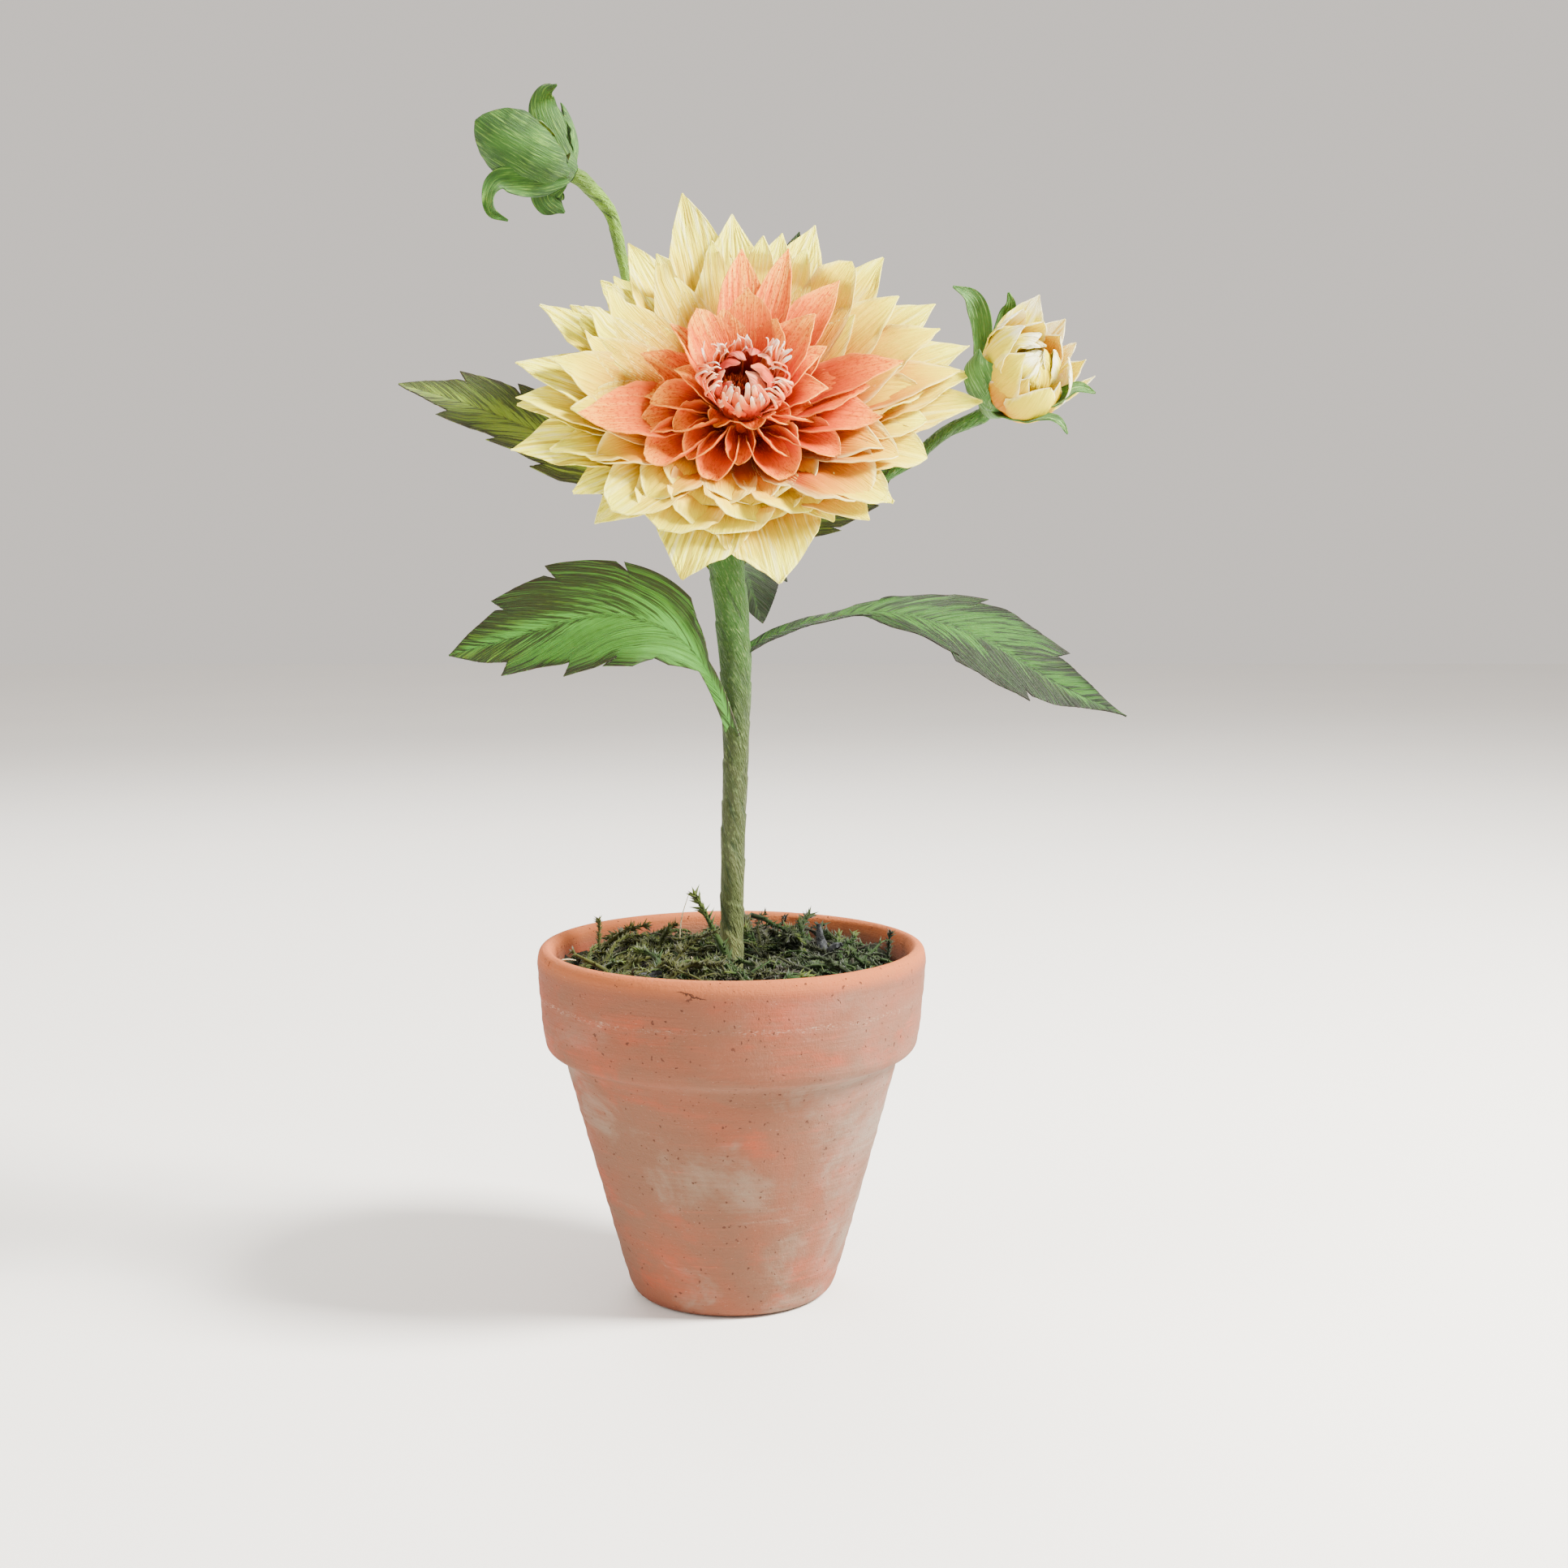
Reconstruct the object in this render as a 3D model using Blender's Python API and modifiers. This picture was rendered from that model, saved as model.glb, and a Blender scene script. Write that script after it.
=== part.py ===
"""A paper dahlia planted in a terracotta flower pot, at its real size.

The plant is made of crepe paper: one large bloom on a wrapped stem, a closed bud and an
opening bud on side stems, and six toothed leaves. It stands in soil under a mat of moss.
All lengths below are in millimetres in the pot's own frame: the pot stands on z = 0 with its
axis at x = y = 0, and the bloom looks towards -Y. The model is in metres, +Z up.
"""

import math
import random

import bmesh
import bpy
import numpy as np
from mathutils import Matrix, Vector

MM = 0.001

# The pot, a six inch clay pot.
POT_RIM_RADIUS = 76.2
POT_HEIGHT = 138.6
POT_WALL_RADIUS_TOP = 65.4
POT_FOOT_RADIUS = 38.5
BAND_BOTTOM_Z = 97.5
DRAIN_RADIUS = 6.5
FLOOR_THICKNESS = 9.0
POT_SEGMENTS = 32
# Its inner wall, from the floor up: radius and height.
POT_INNER_WALL = (
    (POT_FOOT_RADIUS - 1.4, FLOOR_THICKNESS + 4.0),
    (POT_WALL_RADIUS_TOP - 6.4, BAND_BOTTOM_Z - 6.0),
    (POT_RIM_RADIUS - 9.4, BAND_BOTTOM_Z + 6.0),
    (POT_RIM_RADIUS - 7.0, POT_HEIGHT - 2.6),
)

# The fill of the pot. FIT is the gap between pieces that touch in the real plant.
SOIL_TOP_Z = 117.0
SOIL_SEGMENTS = 24
SOIL_CLEARANCE = 0.8
STEM_HOLE_RADIUS = 4.9
FIT = 0.35

# The moss: a mat on the soil, and the strands that stand out of it.
MOSS_TOP_Z = 127.0
MOSS_RADIUS = 66.9
MOSS_RINGS = 5
MOSS_SPOKES = 20
MOSS_STRANDS = 40
MOSS_SEED = 11
STRAND_NEAREST = 13.0
STRAND_SPREAD = 44.0
STRAND_REACH = (7.0, 12.0)
STRAND_RISE = (2.5, 9.0)
STRAND_DEPTH = 3.0
STRAND_RADII = (1.7, 1.5, 0.5)

# The plant spreads further to the right than the left, so its footprint's middle is this far
# from the pot's axis.
MIDDLE_X = 12.7

# The bloom: its place, the way it faces, and how much further its rear petals reach and rise.
BLOOM_POINT = (3.0, -12.0, 327.0)
BLOOM_ELEVATION = 40.0
BLOOM_LEAN = 4.0
REAR_REACH = 0.14
REAR_LIFT = 0.38
SIDE_REACH = 0.025
# Heights along the bloom's axis. The split is the face between yellow and coral petals.
CALYX_TOP = -4.0
CALYX_DEPTH = 7.0
CALYX_RADIUS = 12.0
CALYX_ROOT = (8.0, CALYX_TOP - 3.5)
SPLIT_HEIGHT = 15.0
SPLIT_RADIUS = 9.0
SPLIT_SLOPE = 0.32
SPLIT_END_RADIUS = 60.0
SPLIT_END_SLOPE = 1.4
CENTRE_HEIGHT = 30.0
CENTRE_RADIUS = 9.0
CENTRE_SLOPE = 0.9
CENTRE_MARGIN = 2.0
# Cores that the petals are rooted in: radius at the root and at the top.
YELLOW_CORE = (16.0, 12.0)
CORAL_CORE = (11.0, 9.0)
QUILL_CORE = (8.0, 4.5)
QUILL_CORE_DEPTH = 9.0

# The petals' thickness, and how far they stay from a face that they may not cross.
BLADE = 0.8
CLEARANCE = 1.1

# A petal's half width: its share at the root, where it is widest, and how pointed its tip is.
PETAL_ROOT_SHARE = 0.22
PETAL_WIDEST = 0.56
PETAL_POINT = 0.85
# How much more a petal is rolled at its root, and how much of the roll it loses by its tip.
ROOT_ROLL = 1.25
ROLL_LOSS = 0.85
BULGE_PULL = 1.6

# Random differences between the petals: azimuth and roll in degrees, the share of its length,
# the lift of its tip, and how much further some stay from the face that they may not cross.
AZIMUTH_SPREAD = 4.0
STRETCH_SPREAD = (-0.05, 0.04)
LIFT_SPREAD = 2.5
ROLL_SPREAD = 9.0
SLACK_SPREAD = 0.6
SEPAL_SLACK_STEP = 0.1
YELLOW_SEED = 3
CORAL_SEED = 5
QUILL_SEED = 7
BUD_SEED = 9

# Petal rings of the bloom: count, first azimuth in degrees, root radius and height, tip radius
# and height, width, bulge of the petal's line towards the axis, and half angle of the cup.
YELLOW_RINGS = (
    (11, 4.0, 12.5, -2.0, 87.0, 15.0, 31.0, 6.0, 38.0),
    (12, 19.0, 12.0, 2.0, 87.0, 28.0, 29.0, 4.0, 42.0),
    (11, 6.0, 11.0, 6.0, 79.0, 34.0, 27.0, 5.0, 46.0),
    (10, 22.0, 10.0, 9.5, 67.0, 36.0, 25.0, 5.0, 50.0),
)
CORAL_RINGS = (
    (9, 8.0, 8.0, 17.0, 55.0, 34.0, 25.0, 3.0, 58.0),
    (8, 27.0, 7.5, 20.5, 48.0, 40.0, 22.0, 2.5, 62.0),
    (8, 5.0, 7.0, 25.0, 37.0, 43.0, 18.0, 2.0, 66.0),
)
QUILL_RINGS = (
    (14, 0.0, 9.0, 32.0, 21.0, 45.0, 5.5, -4.0, 50.0),
    (10, 12.0, 6.0, 34.0, 13.0, 44.0, 5.0, -4.0, 50.0),
)
PETAL_STATIONS = (0.0, 0.36, 0.72, 1.0)
QUILL_STATIONS = (0.0, 0.55, 1.0)

# Lines of the stems, and the stem radius at each point.
MAIN_STEM = (
    (0.0, 0.0, 62.0, 4.4),
    (0.0, 0.0, 98.0, 4.4),
    (0.0, 0.0, 134.0, 4.5),
    (0.4, 0.0, 171.0, 4.7),
    (1.5, 0.0, 206.0, 4.9),
    (1.9, 0.0, 232.0, 5.6),
    (1.4, 0.0, 253.0, 6.3),
    (-0.3, 0.3, 272.0, 6.7),
    (-2.0, 1.8, 289.0, 6.8),
    (-1.6, 4.6, 299.0, 6.6),
    (-0.4, 5.4, 307.5, 6.2),
)
LEFT_STEM = (
    (-2.0, 3.0, 286.0, 2.2),
    (-14.0, 24.0, 314.0, 2.2),
    (-32.0, 43.0, 362.0, 2.2),
    (-43.5, 45.0, 404.0, 2.3),
    (-46.9, 42.6, 419.5, 2.5),
    (-50.6, 40.0, 427.0, 2.8),
)
RIGHT_STEM = (
    (-1.0, 2.0, 286.0, 2.4),
    (14.0, 12.0, 298.0, 2.4),
    (38.0, 19.0, 309.0, 2.4),
    (67.5, 18.0, 324.3, 2.4),
    (83.0, 14.0, 336.4, 2.5),
)
MAIN_STEM_END = 5.6
LEFT_STEM_END = 3.2
RIGHT_STEM_END = 3.0
MAIN_STEM_STATIONS = 22
SIDE_STEM_STATIONS = 14

# The two buds: where each sits, and which way it opens.
LEFT_BUD_POINT = (-66.0, 30.5, 438.8)
LEFT_BUD_AXIS = (-0.84, -0.30, 0.45)
RIGHT_BUD_POINT = (101.3, 7.0, 347.5)
RIGHT_BUD_AXIS = (0.54, -0.58, 0.61)
CUP_DEPTH = 5.0
BUD_CORE_ROOT = 4.0

# Each bud's outline, which its petals stay inside and its sepals outside: radius at each height.
LEFT_BUD_OUTLINE = ((0.0, 7.0), (4.0, 10.0), (14.0, 12.5), (26.0, 10.5), (38.0, 5.0))
RIGHT_BUD_OUTLINE = ((0.0, 7.5), (4.0, 13.0), (14.0, 18.5), (26.0, 18.0), (40.0, 15.0))
LEFT_BUD_RINGS = ((5, 0.0, 3.0, 3.0, 3.5, 34.0, 17.0, -8.0, 60.0),)
RIGHT_BUD_RINGS = (
    (6, 10.0, 5.5, 3.0, 15.0, 40.0, 23.0, -7.5, 44.0),
    (4, 40.0, 4.5, 8.0, 7.0, 35.0, 17.0, -6.0, 50.0),
)
# Sepals: azimuth, tip radius and height, width, bulge, half angle of the cup.
LEFT_BUD_SEPALS = (
    (-25.0, 8.0, 38.5, 27.0, -7.0, 45.0),
    (84.0, 26.0, 18.0, 20.0, -3.0, 42.0),
    (125.0, 24.0, 13.0, 18.0, -4.0, 45.0),
    (240.0, 21.0, -3.0, 19.0, -1.0, 35.0),
    (287.0, 33.5, 16.5, 17.0, 19.0, 40.0),
)
RIGHT_BUD_SEPALS = (
    (110.0, 42.5, 22.0, 15.0, -3.0, 40.0),
    (85.0, 30.0, 30.5, 12.0, -2.0, 40.0),
    (172.0, 25.0, 22.0, 21.0, -6.0, 45.0),
    (290.0, 28.8, 18.6, 12.0, -2.0, 40.0),
    (335.0, 32.0, 22.6, 14.0, -3.0, 40.0),
)
BUDS = {
    "left": (LEFT_BUD_POINT, LEFT_BUD_AXIS, LEFT_BUD_OUTLINE, LEFT_BUD_RINGS, LEFT_BUD_SEPALS),
    "right": (RIGHT_BUD_POINT, RIGHT_BUD_AXIS, RIGHT_BUD_OUTLINE, RIGHT_BUD_RINGS, RIGHT_BUD_SEPALS),
}
CALYX_SEPALS = tuple((22.5 + 45.0 * k, 34.0, -10.0, 15.0, 0.5, 30.0) for k in range(8))
SEPAL_STATIONS = (0.0, 0.35, 0.7, 1.0)

# Leaves: midrib line, the way the upper face looks at the root and at the tip, half width,
# share of the line that is stalk, sets of teeth, how far the halves fold up in degrees, and the
# two exponents of the half width, which is half * sin(pi t^peak)^swell along the blade.
LEAVES = {
    "leaf_left": (
        ((1.0, -3.5, 220.0), (-4.0, -8.0, 235.0), (-11.0, -12.0, 249.0), (-21.0, -15.0, 259.5),
         (-34.0, -18.0, 265.5), (-52.0, -22.0, 266.5), (-79.0, -27.0, 259.5), (-104.2, -30.0, 252.5)),
        (-0.45, -0.85, 0.3), (0.05, -0.86, 0.5), 22.0, 0.20, 4, 6.0, 0.93, 0.95,
    ),
    "leaf_right": (
        ((3.0, 0.0, 251.0), (16.0, 0.0, 258.5), (34.0, 1.0, 264.5), (60.0, 2.0, 267.5),
         (94.0, 0.0, 258.5), (125.0, -3.0, 240.5), (151.6, -8.0, 228.0)),
        (-0.1, -0.5, 0.86), (0.25, -0.80, 0.54), 18.0, 0.20, 3, 8.0, 1.1, 1.35,
    ),
    "leaf_upper_left": (
        ((-3.0, 1.0, 281.0), (-17.0, 9.0, 297.0), (-40.0, 13.0, 316.0), (-68.0, 12.0, 333.0),
         (-100.0, 6.0, 346.5), (-126.1, 0.0, 354.0)),
        (-0.2, -0.6, 0.8), (-0.1, -0.75, 0.66), 18.0, 0.28, 4, 8.0, 0.75, 0.85,
    ),
    "leaf_upper_right": (
        ((1.0, 7.0, 284.0), (9.0, 15.5, 296.0), (18.5, 21.5, 302.5), (37.7, 28.5, 308.7),
         (53.8, 31.5, 315.8), (65.1, 32.5, 323.8)),
        (0.1, -0.85, 0.5), (0.0, -0.9, 0.42), 12.0, 0.20, 3, 8.0, 0.75, 0.85,
    ),
    "leaf_back_low": (
        ((0.0, 3.0, 276.0), (1.0, 20.0, 285.0), (3.0, 38.0, 285.0), (7.0, 52.0, 276.0),
         (11.7, 61.0, 260.6)),
        (0.0, -0.3, 0.95), (0.1, 0.6, 0.8), 15.0, 0.25, 2, 8.0, 0.75, 0.85,
    ),
    "leaf_back_high": (
        ((-1.0, 8.0, 300.0), (1.0, 24.0, 316.0), (5.0, 45.0, 345.0), (14.0, 57.0, 380.0),
         (26.6, 57.0, 418.0)),
        (0.0, -0.8, 0.6), (0.0, -0.95, 0.3), 16.0, 0.25, 3, 8.0, 0.75, 0.85,
    ),
}
LEAF_STALK_HALF = 2.8
LEAF_THICKNESS = 0.9
LEAF_LANES = (-1.0, -0.62, 0.0, 0.62, 1.0)
TOOTH_STEP = 4.2
TOOTH_REACH = 8.5
TOOTH_OUT = 1.06
NOTCH_IN = 0.83
FIRST_TOOTH = 0.13
TEETH_SHARE = 0.80

# The colour of each piece, and its roughness. A leaf takes the leaves' one.
LEAF_FINISH = ((0.11, 0.27, 0.05), 0.8)
FINISHES = {
    "pot": ((0.60, 0.29, 0.17), 0.9),
    "soil": ((0.03, 0.022, 0.016), 0.95),
    "moss": ((0.07, 0.09, 0.02), 0.95),
    "stem": ((0.24, 0.40, 0.13), 0.8),
    "bloom_calyx": ((0.15, 0.32, 0.07), 0.8),
    "bloom_yellow_petals": ((0.92, 0.72, 0.34), 0.8),
    "bloom_coral_petals": ((0.85, 0.32, 0.22), 0.8),
    "bloom_centre": ((0.80, 0.28, 0.26), 0.8),
    "left_bud_petals": ((0.85, 0.72, 0.32), 0.8),
    "left_bud_sepals": ((0.15, 0.32, 0.07), 0.8),
    "right_bud_petals": ((0.93, 0.80, 0.45), 0.8),
    "right_bud_sepals": ((0.15, 0.32, 0.07), 0.8),
}


def smooth_line(points, count):
    """Catmull-Rom curve through the points, each a row of any width, at count even stations."""
    rows = np.array(points, float)
    rows = np.vstack([2 * rows[0] - rows[1], rows, 2 * rows[-1] - rows[-2]])
    place = np.linspace(0, len(rows) - 3 - 1e-9, count)
    first = place.astype(int)
    t = (place - first)[:, None]
    a, b, c, d = (rows[first + k] for k in range(4))
    even = 2 * b + (c - a) * t
    bend = (2 * a - 5 * b + 4 * c - d) * t**2
    sway = (3 * b - a - 3 * c + d) * t**3
    return 0.5 * (even + bend + sway)


def half_width(u):
    """Half width of a petal as a share of the widest: a narrow root, a full middle, a pointed tip."""
    quarter = 0.5 * math.pi
    grow = np.sin(quarter * np.minimum(u / PETAL_WIDEST, 1))
    close = np.cos(quarter * np.clip((u - PETAL_WIDEST) / (1 - PETAL_WIDEST), 0, 1))
    widening = PETAL_ROOT_SHARE + (1 - PETAL_ROOT_SHARE) * grow
    return np.where(u < PETAL_WIDEST, widening, close**PETAL_POINT)


def clear_scene():
    for obj in list(bpy.data.objects):
        bpy.data.objects.remove(obj)


def finish(obj, colour, roughness):
    """Gives a piece a plain material of its own."""
    made = bpy.data.materials.new(obj.name)
    made.use_nodes = True
    shader = made.node_tree.nodes["Principled BSDF"]
    shader.inputs["Base Color"].default_value = (*colour, 1)
    shader.inputs["Roughness"].default_value = roughness
    shader.inputs["Metallic"].default_value = 0
    obj.data.materials.clear()
    obj.data.materials.append(made)


def link(obj, group):
    group.objects.link(obj)
    return obj


def mesh_object(name, points, faces):
    """A mesh object from points in millimetres."""
    mesh = bpy.data.meshes.new(name)
    mesh.from_pydata([tuple(float(c) * MM for c in p) for p in points], [], faces)
    return bpy.data.objects.new(name, mesh)


def sheet_faces(rows, columns):
    """Triangles of an open sheet of rows by columns, whose last row is drawn to one point."""
    faces = []
    for row in range(rows - 2):
        for column in range(columns - 1):
            a = row * columns + column
            b, c, d = a + 1, a + columns, a + columns + 1
            faces += [(a, b, d), (a, d, c)]
    tip = (rows - 1) * columns
    last = (rows - 2) * columns
    faces += [(last + column, last + column + 1, tip) for column in range(columns - 1)]
    return faces


def blade(name, points, rows, columns, thickness, group):
    """A sheet of points, given a thickness on both sides of it."""
    obj = link(mesh_object(name, points, sheet_faces(rows, columns)), group)
    wall = obj.modifiers.new("Thickness", "SOLIDIFY")
    wall.thickness = thickness * MM
    wall.offset = 0
    return obj


def fuse(body, group, name):
    """Joins everything in the group to the body, and removes the group's objects."""
    join = body.modifiers.new("Join", "BOOLEAN")
    join.operation = "UNION"
    join.operand_type = "COLLECTION"
    join.collection = group
    join.solver = "MANIFOLD"
    bpy.context.view_layer.update()
    graph = bpy.context.evaluated_depsgraph_get()
    mesh = bpy.data.meshes.new_from_object(body.evaluated_get(graph))
    for obj in [*group.objects, body]:
        bpy.data.objects.remove(obj)
    mesh.name = name
    return bpy.data.objects.new(name, mesh)


def keep_largest(obj):
    """Drops any loose scrap that the joining leaves beside the main body."""
    shape = bmesh.new()
    shape.from_mesh(obj.data)
    left = set(shape.verts)
    islands = []
    while left:
        front = [left.pop()]
        island = set(front)
        while front:
            vert = front.pop()
            for edge in vert.link_edges:
                other = edge.other_vert(vert)
                if other in left:
                    left.discard(other)
                    island.add(other)
                    front.append(other)
        islands.append(island)
    islands.sort(key=len)
    for island in islands[:-1]:
        bmesh.ops.delete(shape, geom=list(island), context="VERTS")
    shape.to_mesh(obj.data)
    shape.free()


def turned(name, profile, segments, group):
    """A profile of (radius, height) pairs turned about Z, as a closed mesh.

    A profile that starts on the axis ends on it too. Any other one is a loop.
    """
    rows = len(profile)
    mesh = bpy.data.meshes.new(name)
    edges = [(i, (i + 1) % rows) for i in range(rows)]
    if profile[0][0] == 0:
        edges.pop()
    mesh.from_pydata([(r * MM, 0, z * MM) for r, z in profile], edges, [])
    obj = link(bpy.data.objects.new(name, mesh), group)
    screw = obj.modifiers.new("Turn", "SCREW")
    screw.steps = segments
    screw.render_steps = segments
    screw.use_merge_vertices = True
    screw.merge_threshold = 0.00005
    screw.use_smooth_shade = True
    return obj


def as_mesh(obj, name):
    """The evaluated object as a plain welded mesh object. The first one is removed."""
    graph = bpy.context.evaluated_depsgraph_get()
    mesh = bpy.data.meshes.new_from_object(obj.evaluated_get(graph))
    matrix = obj.matrix_world.copy()
    bpy.data.objects.remove(obj)
    shape = bmesh.new()
    shape.from_mesh(mesh)
    bmesh.ops.remove_doubles(shape, verts=shape.verts, dist=0.00001)
    shape.to_mesh(mesh)
    shape.free()
    mesh.name = name
    made = bpy.data.objects.new(name, mesh)
    made.matrix_world = matrix
    return made


def tube(name, line, group, sides, grow=0.0):
    """A round bar along the line's points, each (x, y, z, radius), with capped ends."""
    curve = bpy.data.curves.new(name, "CURVE")
    curve.dimensions = "3D"
    curve.bevel_depth = MM
    curve.bevel_resolution = max(0, sides // 2 - 2)
    curve.use_fill_caps = True
    spline = curve.splines.new("POLY")
    spline.points.add(len(line) - 1)
    for point, (x, y, z, radius) in zip(spline.points, line):
        point.co = (x * MM, y * MM, z * MM, 1)
        point.radius = radius + grow
    obj = link(bpy.data.objects.new(name, curve), group)
    bpy.context.view_layer.update()
    return link(as_mesh(obj, name), group)


def frame_of(point, axis):
    """A placing at a point whose +Z is the axis and whose +Y leans as far upwards as it can."""
    z = Vector(axis).normalized()
    up = Vector((0.0, 0.0, 1.0))
    y = (up - z * z.dot(up)).normalized()
    x = y.cross(z)
    place = Matrix((x, y, z)).transposed().to_4x4()
    place.translation = Vector(point) * MM
    return place


def bloom_axis():
    rise = math.radians(BLOOM_ELEVATION)
    lean = math.radians(BLOOM_LEAN)
    return (math.sin(lean), -math.cos(rise) * math.cos(lean), math.sin(rise) * math.cos(lean))


def petal_points(stations, columns, azimuth, root, tip, width, bulge, curl, roll=0.0):
    """Points of one petal's middle sheet, about the flower's axis.

    The petal's line is a curve in the plane through the axis, from its root to its tip, bulged
    towards the axis. Its cross-section is an arc that is rolled at the root and opens to the tip.
    Root and tip are each a radius and a height.
    """
    root = np.array(root, float)
    tip = np.array(tip, float)
    along = tip - root
    inward = np.array((-along[1], along[0])) / np.linalg.norm(along)
    middle = root + 0.5 * along + inward * bulge * BULGE_PULL
    u = np.array(stations)[:, None]
    line = (1 - u) ** 2 * root + 2 * u * (1 - u) * middle + u**2 * tip
    slope = 2 * (1 - u) * (middle - root) + 2 * u * (tip - middle)
    slope /= np.linalg.norm(slope, axis=1)[:, None]
    inward = np.stack([-slope[:, 1], slope[:, 0]], 1)
    half_arc = np.radians(curl) * (ROOT_ROLL - ROLL_LOSS * u)
    half = 0.5 * width * half_width(u)
    v = np.linspace(-1, 1, columns)[None, :]
    side = half * np.sin(half_arc * v) / half_arc
    rise = half * (1 - np.cos(half_arc * v)) / half_arc + side * math.tan(roll)
    radial = line[:, :1] + inward[:, :1] * rise
    height = line[:, 1:] + inward[:, 1:] * rise
    turn = math.radians(azimuth)
    x = radial * math.cos(turn) - side * math.sin(turn)
    y = radial * math.sin(turn) + side * math.cos(turn)
    return np.stack([x, y, height], -1)


def split_height(points):
    """Height of the face between the coral petals and the yellow ones: a cone, steeper behind."""
    radius = np.hypot(points[..., 0], points[..., 1])
    behind = points[..., 1] / (radius + 1e-6)
    beyond = np.maximum(radius - SPLIT_END_RADIUS, 0)
    slope = SPLIT_SLOPE * (1 + REAR_LIFT * behind)
    return SPLIT_HEIGHT + slope * (radius - SPLIT_RADIUS) + SPLIT_END_SLOPE * beyond


def above_split(points, slack):
    """Bends a coral petal back above the split face, and clear of the quills in the middle."""
    radius = np.hypot(points[..., 0], points[..., 1])
    points[..., 2] = np.maximum(points[..., 2], split_height(points) + CLEARANCE + slack)
    above = np.maximum(points[..., 2] - CENTRE_HEIGHT + CENTRE_MARGIN, 0)
    least = np.where(above > 0, CENTRE_RADIUS + CLEARANCE + CENTRE_SLOPE * above, 0)
    points[..., :2] *= np.maximum(1, least / (radius + 1e-6))[..., None]
    return points


def below_split(points, slack):
    """Bends a yellow petal that would cross the split face back below it."""
    points[..., 2] = np.minimum(points[..., 2], split_height(points) - CLEARANCE - slack)
    return points


def in_centre(points, slack):
    """Bends a quill back inside the funnel that the coral petals leave free."""
    radius = np.hypot(points[..., 0], points[..., 1])
    above = np.maximum(points[..., 2] - CENTRE_HEIGHT, 0)
    most = CENTRE_RADIUS - 0.5 + CENTRE_SLOPE * above
    points[..., :2] *= np.minimum(1, most / (radius + 1e-6))[..., None]
    return points


def anywhere(points, slack):
    """The rule of a sepal that has nothing to keep clear of."""
    return points


def inside_outline(outline):
    """A rule that keeps petals inside a bud's outline."""
    heights, radii = np.array(outline).T

    def rule(points, slack):
        radius = np.hypot(points[..., 0], points[..., 1]) + 1e-6
        most = np.interp(points[..., 2], heights, radii) - CLEARANCE - slack
        points[..., :2] *= np.minimum(1, most / radius)[..., None]
        return points

    return rule


def outside_outline(outline):
    """A rule that keeps sepals outside a bud's outline, above the cup."""
    heights, radii = np.array(outline).T

    def rule(points, slack):
        radius = np.hypot(points[..., 0], points[..., 1]) + 1e-6
        least = np.interp(points[..., 2], heights, radii) + CLEARANCE + slack
        grow = np.where(points[..., 2] > 0.5, np.maximum(1, least / radius), 1)
        points[..., :2] *= grow[..., None]
        return points

    return rule


def flat_sheet(grid):
    """A grid of points as one list, with the last row drawn to the middle point."""
    rows, columns, _ = grid.shape
    body = grid[:-1].reshape(-1, 3)
    return np.vstack([body, grid[-1, columns // 2][None]]), rows, columns


def core(name, root_radius, top_radius, low, high, sides, group):
    """A short cone that the petals of one colour are rooted in."""
    shape = bmesh.new()
    bmesh.ops.create_cone(
        shape,
        cap_ends=True,
        segments=sides,
        radius1=root_radius * MM,
        radius2=top_radius * MM,
        depth=(high - low) * MM,
        matrix=Matrix.Translation((0, 0, 0.5 * (low + high) * MM)),
    )
    mesh = bpy.data.meshes.new(name)
    shape.to_mesh(mesh)
    shape.free()
    return link(bpy.data.objects.new(name, mesh), group)


def repeats_group(name):
    """A collection for the repeats that a node is joined from."""
    made = bpy.data.collections.new(name)
    bpy.context.scene.collection.children.link(made)
    return made


def fused_node(name, body, repeats, plant):
    """The body and its repeats as one solid of that name, in the plant's collection."""
    fused = fuse(body, repeats, name)
    bpy.data.collections.remove(repeats)
    keep_largest(fused)
    return link(fused, plant)


def whorl(name, rings, body, stations, plant, rule, seed, uneven=0.0, bowl=0.0):
    """Rings of petals fused to the core they are rooted in.

    rule bends a petal's points back to where they may be. uneven scales the random differences
    between petals, and bowl how much further those behind reach and rise.
    """
    draw = random.Random(seed)
    petals = repeats_group(name + "_petals")
    for ring_index, ring in enumerate(rings):
        count, first, root_r, root_h, tip_r, tip_h, width, bulge, curl = ring
        for index in range(count):
            azimuth = first + 360 * index / count + uneven * draw.uniform(-AZIMUTH_SPREAD, AZIMUTH_SPREAD)
            behind = math.sin(math.radians(azimuth))
            sideways = math.cos(math.radians(azimuth))
            stretch = 1 + uneven * draw.uniform(*STRETCH_SPREAD)
            stretch += bowl * (REAR_REACH * behind + SIDE_REACH * sideways)
            lift = uneven * draw.uniform(-LIFT_SPREAD, LIFT_SPREAD)
            tip = (tip_r * stretch, tip_h * (1 + bowl * REAR_LIFT * behind) + lift)
            roll = uneven * math.radians(draw.uniform(-ROLL_SPREAD, ROLL_SPREAD))
            root = (root_r, root_h)
            grid = petal_points(stations, 3, azimuth, root, tip, width, bulge, curl, roll)
            points, rows, across = flat_sheet(rule(grid, SLACK_SPREAD * draw.random()))
            blade(f"{name}_{ring_index}_{index}", points, rows, across, BLADE, petals)
    return fused_node(name, body, petals, plant)


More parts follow.
